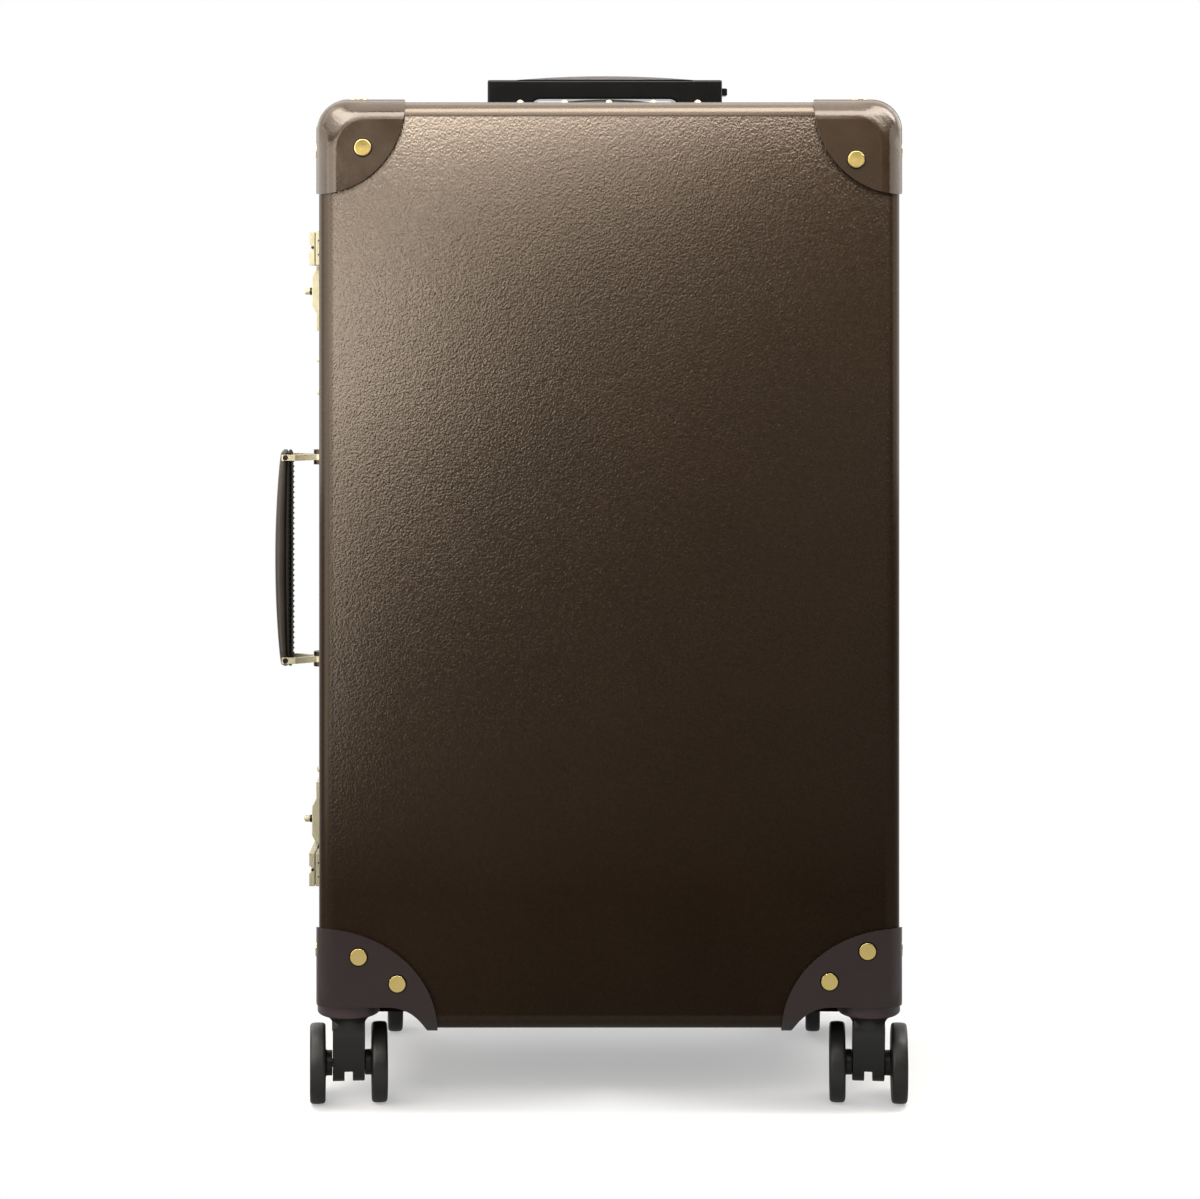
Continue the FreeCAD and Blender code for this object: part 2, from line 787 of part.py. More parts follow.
def tube(size, sx, low, high):
    bore = tuple(side - 2 * tube_wall for side in size)
    return tube_block(size, sx, low, high).cut(tube_block(bore, sx, low, high))


def tube_pair(size, low, high):
    return [tube(size, sx, low, high) for sx in (-1, 1)]


def wider(size, gap):
    return tuple(side + 2 * gap for side in size)


def trolley_foot():
    """The block on the floor of the base that holds the outer tubes."""
    half = tube_x + outer_tube[0] / 2 + foot_margin
    half_y = outer_tube[1] / 2 + foot_margin
    block = box((-half, half), (tube_y - half_y, tube_y + half_y), (foot_bottom, foot_bottom + foot_height))
    return block.cut([tube_block(outer_tube, sx, tube_bottom, case_top) for sx in (-1, 1)])


def trolley_bezel():
    """The plate on the case top: two holes for the tubes and an arched lip along the front."""
    plate = box((-bezel_half_width, bezel_half_width), (bezel_front, bezel_back), (case_top, bezel_top))
    uprights = edges_where(plate, lambda b: b.XLength + b.YLength < 0.001)
    plate = plate.makeFillet(bezel_corner, uprights)
    y = bezel_front + bezel_lip_setback
    crown = case_top + bezel_lip_height
    arch_at = V(0, y, crown - bezel_lip_radius)
    arch = rod(bezel_lip_radius, arch_at, arch_at + V(0, bezel_lip_thick, 0))
    half = bezel_half_width - bezel_corner
    above = box((-half, half), (y, y + bezel_lip_thick), (case_top, crown))
    lip = arch.common(above)
    crest = edges_where(lip, lambda b: b.YLength < 0.001 and b.ZMax > crown - 0.1)
    lip = lip.makeFillet(bezel_lip_round, crest)
    holes = [tube_block(wider(middle_tube, slide_gap), sx, case_top, bezel_top) for sx in (-1, 1)]
    return union([plate, lip]).cut(holes)


def trolley_grip():
    """The hand grip: a bridge on two legs, with sockets for the tubes and a pocket for the button."""
    low = grip_floor
    high = case_top + grip_top
    y = (tube_y - grip_depth / 2, tube_y + grip_depth / 2)
    bridge = box((-grip_half_length, grip_half_length), y, (low, high))
    ends = edges_where(bridge, lambda b: b.XLength + b.ZLength < 0.001 and b.ZMin > high - 0.1)
    bridge = bridge.makeFillet(grip_round, ends)
    opening = box((-grip_opening_half, grip_opening_half), y, (low - beyond, case_top + grip_underside))
    shoulders = edges_where(opening, lambda b: b.XLength + b.ZLength < 0.001 and b.ZMin > low)
    opening = opening.makeFillet(grip_opening_round, shoulders)
    sockets = [tube_block(inner_tube, sx, low, low + inner_tube_socket) for sx in (-1, 1)]
    centre_z = case_top + button_height_centre
    half_y = button_width / 2 + running_gap
    half_z = button_height / 2 + running_gap
    pocket = box(
        (grip_half_length - button_length - button_travel + button_proud - running_gap, grip_half_length),
        (tube_y - half_y, tube_y + half_y),
        (centre_z - half_z, centre_z + half_z),
    )
    return bridge.cut([opening, pocket] + sockets)


def trolley_pad():
    """The shallow crescent pad along the top of the grip."""
    high = case_top + grip_top
    radius = (pad_half_length ** 2 + pad_rise ** 2) / (2 * pad_rise)
    y = (tube_y - grip_depth / 2, tube_y + grip_depth / 2)
    drum = rod(radius, V(0, y[0], high + pad_rise - radius), V(0, y[1], high + pad_rise - radius))
    return drum.common(box((-pad_half_length, pad_half_length), y, (high, high + pad_rise + 1)))


def trolley_button():
    """The release button in the end of the grip."""
    end = grip_half_length + button_proud
    z = case_top + button_height_centre
    button = box(
        (end - button_length, end),
        (tube_y - button_width / 2, tube_y + button_width / 2),
        (z - button_height / 2, z + button_height / 2),
    )
    front = edges_where(button, lambda b: b.XLength < 0.001 and b.XMin > end - 0.1)
    return button.makeFillet(1.2, front)


# Inside the base


def cover_panel():
    """The padded panel that hides the trolley tubes from the packing space."""
    return case_block(-lining_gap).common(slab(cover_y, cover_y + cover_thick))


def packing_strap(sx):
    """One elastic strap from the side of the base to the buckle in the middle."""
    half = strap_width / 2
    end = side_x - lining_gap - lining_thick
    middle = case_bottom + case_height / 2
    return box(
        (sx * buckle_length / 2, sx * end), (cover_y - strap_thick, cover_y), (middle - half, middle + half)
    )


def strap_buckle():
    middle = case_bottom + case_height / 2
    half = buckle_height / 2
    half_x = buckle_length / 2
    buckle = box((-half_x, half_x), (cover_y - buckle_thick, cover_y), (middle - half, middle + half))
    uprights = edges_where(buckle, lambda b: b.XLength + b.ZLength < 0.001)
    return buckle.makeFillet(6.0, uprights)


def all_holes(sy):
    """Every hole for a rivet, screw or spigot through the wall of one shell."""
    holes = [cap_rivet_hole(spot, out) for name in corners for spot, out in cap_rivet_spots(name, sy)]
    holes += [rim_hole(spot, out) for spot, out in rim_spots(sy) + hinge_rivet_spots(sy)]
    for sx in (-1, 1):
        holes += caster_screw_shanks(sx, sy)
    return holes


def build_shells():
    lid, base = both_shells()
    lid_holes = all_holes(-1)
    base_holes = all_holes(1)
    for name, sign in (("upper", 1), ("lower", -1)):
        lid_holes.append(catch_spigot(name, sign))
        base_holes += latch_spigots(name, sign)
    base_holes += [bracket_spigot(z) for z in handle_levels()]
    tubes = wider(outer_tube, running_gap)
    base_holes += [tube_block(tubes, sx, case_top - 2 * wall, case_top) for sx in (-1, 1)]
    lid_frame, base_frame = frames()
    lid_lining, base_lining = linings()
    export("lid_shell", lid.cut(lid_holes))
    export("base_shell", base.cut(base_holes))
    export("lid_frame", lid_frame)
    export("base_frame", base_frame)
    export("lid_lining", lid_lining)
    export("base_lining", base_lining)


def build_caps():
    skin = case_block(cap_thick).cut(case_block(0))
    for half, sy in (("lid", -1), ("base", 1)):
        rivets = []
        for name, (sx, sz) in corners.items():
            spots = cap_rivet_spots(name, sy)
            holes = [cap_rivet_hole(spot, out) for spot, out in spots]
            export(half + "_cap_" + name, corner_cap(skin, sx, sy, sz).cut(holes))
            rivets += [flat_rivet(spot, out) for spot, out in spots]
        export(half + "_cap_rivets", *rivets)
        rim = [domed_rivet(spot, out, wall) for spot, out in rim_spots(sy)]
        export(half + "_rim_rivets", *rim, *hinge_rivets(sy))


def build_hinges():
    export("base_hinge_leaves", *[hinge_leaf(z, 1) for z in hinge_heights])
    export("lid_hinge_leaves", *[hinge_leaf(z, -1) for z in hinge_heights])
    export("hinge_pins", *[hinge_pin(z) for z in hinge_heights])


def build_latches():
    signs = {"upper": 1, "lower": -1}
    export("latch_bodies", *[latch_body(name, sign) for name, sign in signs.items()])
    export("lid_catches", *[lid_catch(name, sign) for name, sign in signs.items()])
    for name, sign in signs.items():
        export("latch_flap_" + name, latch_flap(name, sign))
        export("latch_knob_" + name, latch_knob(name))


def build_side_handle():
    export("side_handle_grip", handle_grip())
    export("side_handle_stirrups", *[stirrup(z) for z in handle_levels()])
    export("side_handle_pins", *strap_pins())
    export("side_handle_brackets", *[handle_bracket(z) for z in handle_levels()])


def build_casters():
    for half, sy in (("lid", -1), ("base", 1)):
        screws = []
        for sx in (-1, 1):
            place = ("front_" if sy < 0 else "rear_") + ("left" if sx < 0 else "right")
            export("caster_mount_" + place, caster_mount(sx, sy))
            export("caster_fork_" + place, toed(caster_fork(sx, sy), sx, sy))
            export("caster_axle_" + place, toed(caster_axle(sx, sy), sx, sy))
            export("caster_wheels_" + place, *[toed(one, sx, sy) for one in caster_wheels(sx, sy)])
            screws += caster_screw_group(sx, sy)
        export(half + "_caster_screws", *screws)


def build_trolley():
    middle_top = bezel_top
    export("trolley_foot_block", trolley_foot())
    export("trolley_outer_tubes", *tube_pair(outer_tube, tube_bottom, case_top))
    export("trolley_middle_tubes", *tube_pair(middle_tube, tube_bottom + tube_stagger, middle_top))
    inner_top = grip_floor + inner_tube_socket
    export("trolley_inner_tubes", *tube_pair(inner_tube, tube_bottom + 2 * tube_stagger, inner_top))
    export("trolley_bezel", trolley_bezel())
    export("trolley_grip", trolley_grip())
    export("trolley_grip_pad", trolley_pad())
    export("trolley_button", trolley_button())


def build_interior():
    export("trolley_cover_panel", cover_panel())
    export("packing_straps", packing_strap(-1), packing_strap(1))
    export("strap_buckle", strap_buckle())


os.makedirs("parts", exist_ok=True)
build_shells()
build_caps()
build_hinges()
build_latches()
build_side_handle()
build_casters()
build_trolley()
build_interior()
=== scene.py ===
# %% [markdown]
# A spinner suitcase, dressed for its portrait.
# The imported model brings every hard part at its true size: shells, latches, tubes, casters.
# This lesson gives those parts their finishes, and makes the leather, cloth, rivets and tyres anew as
# surfaces worked out with numpy. Their points are in millimetres until a mesh is made, and everything else
# is in metres. The case stands on the floor at height zero.

# %% Load the frame
import json
import math

import bmesh
import bpy
import numpy as np
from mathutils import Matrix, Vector


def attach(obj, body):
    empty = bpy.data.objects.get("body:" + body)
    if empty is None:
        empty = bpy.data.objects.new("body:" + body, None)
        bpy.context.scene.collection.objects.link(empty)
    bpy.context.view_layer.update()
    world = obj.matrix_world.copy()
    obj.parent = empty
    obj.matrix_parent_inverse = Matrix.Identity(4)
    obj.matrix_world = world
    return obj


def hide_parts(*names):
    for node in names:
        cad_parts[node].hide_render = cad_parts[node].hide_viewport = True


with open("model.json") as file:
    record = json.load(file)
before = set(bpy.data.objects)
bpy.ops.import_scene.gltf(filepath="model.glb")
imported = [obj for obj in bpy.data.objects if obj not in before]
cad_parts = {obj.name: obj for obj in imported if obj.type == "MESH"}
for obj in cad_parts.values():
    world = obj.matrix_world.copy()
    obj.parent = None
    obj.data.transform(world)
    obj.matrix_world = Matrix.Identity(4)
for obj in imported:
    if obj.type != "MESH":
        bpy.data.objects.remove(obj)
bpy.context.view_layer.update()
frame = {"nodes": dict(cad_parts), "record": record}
mm = 0.001

# %% [markdown]
# A few sizes of the case are needed again and again, so they get names here: half its width, half its depth
# and the heights of its lower and upper edges, in millimetres. They are the part's own sizes.

# %% Sizes of the case
half_width, half_depth, low_edge, top_edge = 207.0, 120.0, 62.0, 722.0
half_height, mid_height = (top_edge - low_edge) / 2, (top_edge + low_edge) / 2
print("case", 2 * half_width, "by", 2 * half_depth, "by", 2 * half_height, "mm, middle at", mid_height)

# %% [markdown]
# Colours are written as the sRGB hex values that a paint chart gives, but shaders work in linear light. One
# function makes that change. A second one adds a shader node, and the short ones after it name the nodes
# that are used most, so a material reads as a list of steps.

# %% Helpers for materials
def linear(code):
    """An sRGB hex colour as linear RGBA: each channel is divided by 12.92 near black, and elsewhere is
    raised to the power 2.4 after the offset of 0.055."""
    part = np.array([int(code[i:i + 2], 16) for i in (1, 3, 5)]) / 255
    value = np.where(part <= 0.04045, part / 12.92, ((part + 0.055) / 1.055) ** 2.4)
    return (*value.tolist(), 1.0)


def fill(tree, node, sockets):
    """Gives a node's inputs, by name or number, plain values or links from other nodes' outputs."""
    for name, value in sockets.items():
        if isinstance(value, bpy.types.NodeSocket):
            tree.links.new(value, node.inputs[name])
        else:
            node.inputs[name].default_value = value


def add(tree, kind, sockets=None, **settings):
    """Adds one shader node. Settings are its own options, and sockets are its inputs."""
    made = tree.nodes.new("ShaderNode" + kind)
    for name, value in settings.items():
        setattr(made, name, value)
    fill(tree, made, sockets or {})
    return made


def start_material(name):
    """An empty material: its node tree and its Principled shader, already wired to the output."""
    material = bpy.data.materials.new(name)
    material.use_nodes = True
    tree = material.node_tree
    tree.nodes.clear()
    shader = add(tree, "BsdfPrincipled")
    add(tree, "OutputMaterial", {"Surface": shader.outputs[0]})
    return material, tree, shader


def per_mm(size):
    """The texture scale whose pattern repeats about once in this many millimetres."""
    return 1000.0 / size


def combine(tree, operation, *values):
    """One Math node: an operation on up to three values, plain or linked."""
    return add(tree, "Math", dict(enumerate(values)), operation=operation).outputs[0]


def combine_vectors(tree, operation, *values):
    """One VectorMath node: an operation on one or two vectors."""
    return add(tree, "VectorMath", dict(enumerate(values)), operation=operation).outputs[0]


def ramp(tree, value, start, end, low=0.0, high=1.0, easing="LINEAR"):
    """Goes from low to high as a value goes from start to end, and keeps them beyond."""
    sockets = {0: value, 1: start, 2: end, 3: low, 4: high}
    return add(tree, "MapRange", sockets, interpolation_type=easing).outputs[0]


def mix(tree, share, first, second, kind="RGBA"):
    """The first where share is 0, the second where it is 1: colours, plain values or vectors."""
    one, two, out = {"FLOAT": (2, 3, 0), "VECTOR": (4, 5, 1), "RGBA": (6, 7, 2)}[kind]
    return add(tree, "Mix", {0: share, one: first, two: second}, data_type=kind).outputs[out]


def noise(tree, place, size, detail=2.0, roughness=0.5, distortion=0.0):
    """Cloudy noise between 0 and 1, with blobs of about this size in millimetres."""
    sockets = {"Vector": place, "Scale": per_mm(size), "Detail": detail, "Roughness": roughness,
               "Distortion": distortion}
    return add(tree, "TexNoise", sockets).outputs["Fac"]


def raised(tree, height, depth, strength=1.0, under=None):
    """The normal of a surface raised by depth, in metres, times height; under is a bump that lies beneath."""
    sockets = {"Strength": strength, "Distance": depth, "Height": height}
    if under is not None:
        sockets["Normal"] = under
    return add(tree, "Bump", sockets).outputs[0]


def scaled(tree, place, factors):
    """Coordinates stretched by a factor on each axis."""
    return add(tree, "Mapping", {"Vector": place, "Scale": factors}).outputs[0]


def axes(tree, vector):
    """A vector's X, Y and Z."""
    return add(tree, "SeparateXYZ", {0: vector}).outputs


def from_middle(tree, place):
    """Coordinates measured from the middle of the case."""
    return add(tree, "Mapping", {"Vector": place, "Location": (0, 0, -mid_height * mm)}).outputs[0]


def past_edges(tree, spot, edges):
    """How far a point, measured from the middle of the case, lies past edges at these distances."""
    return combine_vectors(tree, "SUBTRACT", combine_vectors(tree, "ABSOLUTE", spot), edges)


print("white paint is", linear("#FFFFFF"))

# %% [markdown]
# The two shells are pressed from vulcanised fibre: layers of cotton paper made hard with a zinc salt, then
# calendered between rolls that leave a fine pebble, and varnished. The pebble breaks the light of a lamp
# into a broad soft sheen, so here the sheen comes from the bump, the roughness and a specular level that is
# painted by place, and the colour stays dark brown. The varnish is amber, so it tints what it reflects. Its
# specular level falls downwards and to the right on the faces, a painted fall-off of the sheen, and is lower
# again on the bent rim, above all along the sides; use has thinned it on the flat top and bottom. The colour
# is darker in the hollows of the pebble and paler on its tops: painted shade and highlight. Pressing also
# leaves each panel faintly crowned towards its edges. That is far below a modelled curve, so it is a first
# bump whose height falls off as a hanging chain does, level in the middle and steep at the edges. Round the
# bend at the edge the sheet is stretched smooth.

# %% Vulcanised fibre
crown_tilt, crown_reach = 0.25, 0.09
sheen_least_below, sheen_full_above = 0.18, 0.52
amber = (1.0, 0.88, 0.75, 1.0)


def crowned_panel(tree, spot):
    """A bump that falls towards the edges of a panel: minus the hyperbolic cosine of the distance from the
    middle over crown_reach, in X and in Z, scaled so that the slope at the edge is crown_tilt."""
    reach = add(tree, "VectorMath", {0: spot, "Scale": 1 / crown_reach}, operation="SCALE").outputs[0]
    reach = axes(tree, reach)
    arches = []
    for axis, half in (("X", half_width * mm), ("Z", half_height * mm)):
        share = -2 * math.exp(-half / crown_reach) * crown_tilt * crown_reach
        arches.append(combine(tree, "MULTIPLY", combine(tree, "COSH", reach[axis]), share))
    return raised(tree, combine(tree, "ADD", *arches), 1.0)


def bent_rim(tree, past, fore, inset):
    """The bend round the front and back faces: 1 from 10 mm inside their edges outwards, 0 from 11.5 mm
    inwards. At the sides it begins further out by the inset."""
    rim = combine(tree, "MAXIMUM", combine(tree, "ADD", past["X"], -inset), past["Z"])
    return combine(tree, "MULTIPLY", ramp(tree, rim, -11.5 * mm, -10.0 * mm), fore)


def painted_sheen_level(tree, place, past, band):
    """The specular level of the varnish: on the faces it falls downwards and to the right, a painted fall-off
    of the sheen, and on the bent rim it is lower, above all along the sides, and falls downwards as well."""
    across, _, tall = axes(tree, place)
    # The faces' level falls downwards and to the right: a painted fall-off of the sheen.
    face = ramp(tree, tall, 0.16, sheen_full_above, 0.08, 1.0)
    face = combine(tree, "MULTIPLY", face, ramp(tree, across, -0.14, 0.08, 1.0, 0.68))
    ends = ramp(tree, tall, sheen_least_below, sheen_full_above, 0.2, 0.75)
    inner = ramp(tree, tall, sheen_least_below, sheen_full_above, 0.13, 0.62)
    sides = ramp(tree, past["X"], -11.0 * mm, -3.0 * mm, inner, 0.13)
    corner = combine(tree, "SUBTRACT", past["X"], past["Z"])
    rim = ramp(tree, corner, -4.0 * mm, 4.0 * mm, ends, sides)
    return mix(tree, band, face, rim, "FLOAT")


def vulcanised_fibre():
    material, tree, shader = start_material("vulcanised_fibre")
    place = add(tree, "TexCoord").outputs["Object"]
    spot = from_middle(tree, place)
    past = axes(tree, past_edges(tree, spot, (half_width * mm, 0.0, half_height * mm)))
    fore = ramp(tree, past["Y"], (half_depth - 13) * mm, (half_depth - 10) * mm)
    bend, band = bent_rim(tree, past, fore, 2.5 * mm), bent_rim(tree, past, fore, 0.0)
    turned = add(tree, "Mapping", {"Vector": place, "Rotation": (0, 0.6, 0), "Scale": (1.0, 1.0, 0.8)})
    pebble = noise(tree, turned.outputs[0], 1.3, 1.0, 0.5, 0.3)
    crease = noise(tree, place, 4.0)
    relief = combine(tree, "MULTIPLY_ADD", crease, 0.35, pebble)
    relief = raised(tree, relief, 0.38 * mm, 1.0, crowned_panel(tree, spot))
    plain = add(tree, "NewGeometry").outputs["Normal"]
    mottle = mix(tree, noise(tree, place, 70.0, 3.0), linear("#1D140C"), linear("#241A11"))
    # The colour is darker in the pebble's hollows and paler on its tops: painted shade and highlight.
    pebble_shading = ramp(tree, pebble, 0.35, 0.65, 0.82, 1.1)
    flat_end = ramp(tree, past["Z"], -2.0 * mm, -0.5 * mm)
    handled = combine(tree, "MULTIPLY", flat_end, combine(tree, "SUBTRACT", 1.0, fore))
    varnish = mix(tree, handled, painted_sheen_level(tree, place, past, band), 0.1, "FLOAT")
    fill(tree, shader, {
        "Base Color": combine_vectors(tree, "MULTIPLY", mottle, pebble_shading),
        "Roughness": mix(tree, handled, ramp(tree, crease, 0.3, 0.7, 0.23, 0.29), 0.5, "FLOAT"),
        "Normal": mix(tree, bend, relief, plain, "VECTOR"),
        "Specular Tint": amber,
        "Specular IOR Level": 0.35,
    })
    fill(tree, shader, {"Specular IOR Level": varnish})
    return material


fibre = vulcanised_fibre()
print("made", fibre.name)

# %% [markdown]
# The corner caps are thick cowhide, moulded wet over the corners, dyed and waxed. Smooth hide throws a lamp
# back in a narrow patch, so its flat faces look darker than the fibre beside them. Its pores are finer than
# a pixel; they are drawn about 1.8 mm apart so that some of them show. Low down the caps are given a darker,
# redder colour: painted shade. The handle has the same hide, paler, and cut or pressed edges are blackened.

# %% Waxed hide
cap_corner, cap_turn, cap_fall = 34.0, 13.5, 3.2
wax = (1.0, 0.94, 0.87, 1.0)


def moulded_corner(tree, place):
    """A bump that rounds a cap's face towards its edges: the height falls smoothly by 3.2 mm over the
    last 13.5 mm inside a rectangle with 34 mm corners, as a thick hide takes the corner when moulded wet."""
    inner = ((half_width - cap_corner) * mm, 1.0, (half_height - cap_corner) * mm)
    past = past_edges(tree, from_middle(tree, place), inner)
    past = combine_vectors(tree, "MAXIMUM", past, (0, 0, 0))
    gap = add(tree, "VectorMath", {0: past}, operation="LENGTH").outputs["Value"]
    drop = ramp(tree, gap, (cap_corner - cap_turn) * mm, cap_corner * mm, 0.0, -cap_fall * mm, "SMOOTHSTEP")
    return raised(tree, drop, 1.0)


def waxed_hide(name, deep, high, gloss, low_shade_colour, level, moulded=False):
    material, tree, shader = start_material(name)
    place = add(tree, "TexCoord").outputs["Object"]
    pores = add(tree, "TexVoronoi", {"Vector": place, "Scale": per_mm(1.8), "Randomness": 1.0},
                feature="SMOOTH_F1")
    grain = combine(tree, "MULTIPLY_ADD", pores.outputs["Distance"], 0.6, noise(tree, place, 4.0, 4.0))
    cloud = noise(tree, place, 28.0, 4.0, 0.6)
    dye = mix(tree, ramp(tree, cloud, 0.3, 0.7), linear(deep), linear(high))
    # Below 0.15 m, blending back by 0.3 m, the colour turns darker and redder: painted shade on the lower
    # caps.
    low = ramp(tree, axes(tree, place)["Z"], 0.15, 0.3, 1.0, 0.0)
    under = moulded_corner(tree, place) if moulded else None
    fill(tree, shader, {
        "Base Color": mix(tree, low, dye, linear(low_shade_colour)),
        "Roughness": ramp(tree, cloud, 0.3, 0.7, gloss - 0.05, gloss + 0.06),
        "Normal": raised(tree, grain, 0.16 * mm, 0.5, under),
        "Specular Tint": wax,
        "Specular IOR Level": level,
    })
    return material


cap_hide = waxed_hide("waxed_cap_hide", "#20170F", "#281E14", 0.2, "#1B0F11", 0.55, True)
grip_hide = waxed_hide("waxed_grip_hide", "#1D1916", "#241F1B", 0.46, "#1D1916", 0.4)
edge_hide = waxed_hide("blackened_hide_edge", "#060505", "#0C0A09", 0.5, "#060505", 0.15)
print("made", cap_hide.name, grip_hide.name, edge_hide.name)

# %% [markdown]
# Latches, rivets and hinges are sheet brass, brushed and lacquered. Brushing leaves scratches a tenth of a
# millimetre apart; they are drawn coarser so that they show, as noise that is stretched along the case's
# depth. Handling dulls the lacquer in patches, and on the latches it has turned milky, so their brass is
# only partly metallic. Metals keep the default IOR, and their colour is the reflected colour.

# %% Metals
def brushed_metal(name, clean, dull, gloss, stretch=(1.0, 0.06, 1.0), metal=1.0, wear=1.0):
    material, tree, shader = start_material(name)
    place = add(tree, "TexCoord").outputs["Object"]
    scratches = noise(tree, scaled(tree, place, stretch), 0.7)
    dulled = ramp(tree, noise(tree, place, 9.0, 4.0, 0.65), 0.42, 0.72)
    fill(tree, shader, {
        "Base Color": mix(tree, dulled, linear(clean), linear(dull)),
        "Roughness": combine(tree, "MULTIPLY_ADD", dulled, 0.14 * wear, gloss),
        "Normal": raised(tree, scratches, 0.04 * mm, 0.25 * wear),
        "Metallic": metal,
    })
    return material


brass = brushed_metal("lacquered_brass", "#A9A48A", "#9E987C", 0.36, metal=0.35, wear=0.5)
rivet_brass = brushed_metal("stamped_rivet_brass", "#E2CA80", "#DEC57A", 0.14, wear=0.05)
bronze = brushed_metal("blackened_bronze", "#3A3029", "#241C17", 0.36)
steel = brushed_metal("zinc_plated_steel", "#C9CACC", "#9FA1A4", 0.3)
frame_metal = brushed_metal("champagne_anodised_aluminium", "#CDBF9D", "#B3A583", 0.34, (1.0, 1.0, 0.05))
tube_metal = brushed_metal("satin_anodised_aluminium", "#C6C7C9", "#AEB0B3", 0.3, (1.0, 1.0, 0.02))
print("made", brass.name, rivet_brass.name, bronze.name, steel.name, frame_metal.name, tube_metal.name)

# %% [markdown]
# The trolley grip and the caster forks are ABS and nylon, moulded in tools with a spark-eroded texture: a
# fine random stipple that makes a black part look charcoal where light skims it. The tyres are cast
# polyurethane, a little duller and with a coarser stipple.

# %% Moulded plastics
def moulded_plastic(name, base, scuffed, gloss, stipple=0.9, level=0.5, wear=0.15):
    material, tree, shader = start_material(name)
    place = add(tree, "TexCoord").outputs["Object"]
    rubbed = ramp(tree, noise(tree, place, 14.0, 5.0, 0.7), 0.45, 0.8)
    fill(tree, shader, {
        "Base Color": mix(tree, rubbed, linear(base), linear(scuffed)),
        "Roughness": combine(tree, "MULTIPLY_ADD", rubbed, wear, gloss),
        "Normal": raised(tree, noise(tree, place, stipple, 1.0), 0.06 * mm, 0.3),
        "Specular IOR Level": level,
    })
    return material


black_abs = moulded_plastic("moulded_black_abs", "#040404", "#060606", 0.16, level=0.2, wear=0.02)
brown_abs = moulded_plastic("moulded_brown_abs", "#352528", "#3C2A2C", 0.34)
fork_nylon = moulded_plastic("glass_filled_nylon", "#141413", "#1B1B1A", 0.36)
grey_abs = moulded_plastic("moulded_grey_abs", "#3B3A3B", "#454446", 0.42)
tyre = moulded_plastic("cast_polyurethane", "#181817", "#20201F", 0.42, 1.4)
print("made", black_abs.name, brown_abs.name, fork_nylon.name, grey_abs.name, tyre.name)

# %% [markdown]
# The lining is a plain-woven rayon in a warm straw colour, and the packing straps are polypropylene
# webbing. Both patterns follow the cloth, so they read the piece's own UV map, which is laid out in metres:
# the weave then keeps one thread spacing round every fold. Threads are drawn 1.6 mm apart, wider than real,
# to show. Rayon yarn is uneven, so a noise drawn out along the weft lightens some threads more than others.

# %% Woven cloth
def woven_cloth(name, warp, weft, thread, gloss):
    material, tree, shader = start_material(name)
    place = add(tree, "UVMap", uv_map="lay").outputs[0]
    wave = {"Vector": place, "Scale": per_mm(thread) * math.pi / 10, "Distortion": 0.6, "Detail": 1.0,
            "Detail Scale": 3.0}
    threads = [add(tree, "TexWave", wave, bands_direction=axis).outputs["Fac"] for axis in "XY"]
    over = combine(tree, "MULTIPLY", *threads)
    slubs = noise(tree, scaled(tree, place, (0.06, 1.0, 1.0)), 2.4)
    shade = combine(tree, "MULTIPLY_ADD", over, 0.55, slubs)
    fill(tree, shader, {
        "Base Color": mix(tree, ramp(tree, shade, 0.35, 1.1), linear(warp), linear(weft)),
        "Roughness": gloss,
        "Normal": raised(tree, over, 0.25 * mm, 0.6),
        "Sheen Weight": 0.25,
    })
    return material


lining_cloth = woven_cloth("woven_rayon_lining", "#7D6B4C", "#B39F78", 1.6, 0.62)
webbing = woven_cloth("polypropylene_webbing", "#17140F", "#332B22", 2.2, 0.55)
print("made", lining_cloth.name, webbing.name)

# %% [markdown]
# A CAD node whose shape is right stays, and only takes a material. The record already names a finish for
# every node, so one table from finish to material dresses them all at once.

# %% Dress the nodes that stay
finish_of = {row["node"]: row["material_slot"] for row in frame["record"]["subparts"]}
material_of = {
    "shell_fibre": fibre, "cap_leather": cap_hide, "grip_leather": grip_hide, "brass": brass,
    "bracket_bronze": bronze, "steel": steel, "frame_aluminium": frame_metal, "tube_aluminium": tube_metal,
    "black_plastic": black_abs, "grey_plastic": grey_abs, "wheel_polyurethane": tyre,
    "lining_cloth": lining_cloth, "webbing": webbing,
}
body_of = {node: body for body, nodes in frame["record"]["behaviour"]["bodies"].items() for node in nodes}
places = ("front_left", "front_right", "rear_left", "rear_right")
special = {"caster_mount_" + place: brown_abs for place in places}
special.update({"caster_fork_" + place: fork_nylon for place in places})
special["side_handle_pins"] = bronze
special["trolley_button"] = black_abs
for node, piece in frame["nodes"].items():
    piece.data.materials.clear()
    piece.data.materials.append(special.get(node, material_of[finish_of[node]]))
print("dressed", len(frame["nodes"]), "nodes")

# %% [markdown]
# Every new piece is one or more grids of points. A grid closes on itself where its first and last columns
# meet, and at a pole where a whole row falls on one point: welding points that coincide closes both. Each
# grid carries its own UV map in metres, which keeps a weave the same size all over.

# %% Helpers for pieces
same_point = 0.002 * mm


def flat_uv(grid):
    """Lays a grid out flat: u is the mean length walked along the rows, v along the columns."""
    across = np.linalg.norm(np.diff(grid, axis=1), axis=2).mean(axis=0)
    down = np.linalg.norm(np.diff(grid, axis=0), axis=2).mean(axis=1)
    u = np.concatenate([[0.0], np.cumsum(across)])
    v = np.concatenate([[0.0], np.cumsum(down)])
    return np.stack(np.broadcast_arrays(u[None, :], v[:, None]), axis=-1)


def panel_uv(grid):
    """Lays a flat panel out as it stands: u is its X and v is its Z."""
    return grid[..., [0, 2]]


def settle(piece, material, body, nodes):
    """Gives a piece its material and the body it moves with, and hides the CAD nodes that it stands for."""
    bpy.context.scene.collection.objects.link(piece)
    piece.data.materials.append(material)
    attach(piece, body)
    if nodes:
        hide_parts(*nodes)
    return piece


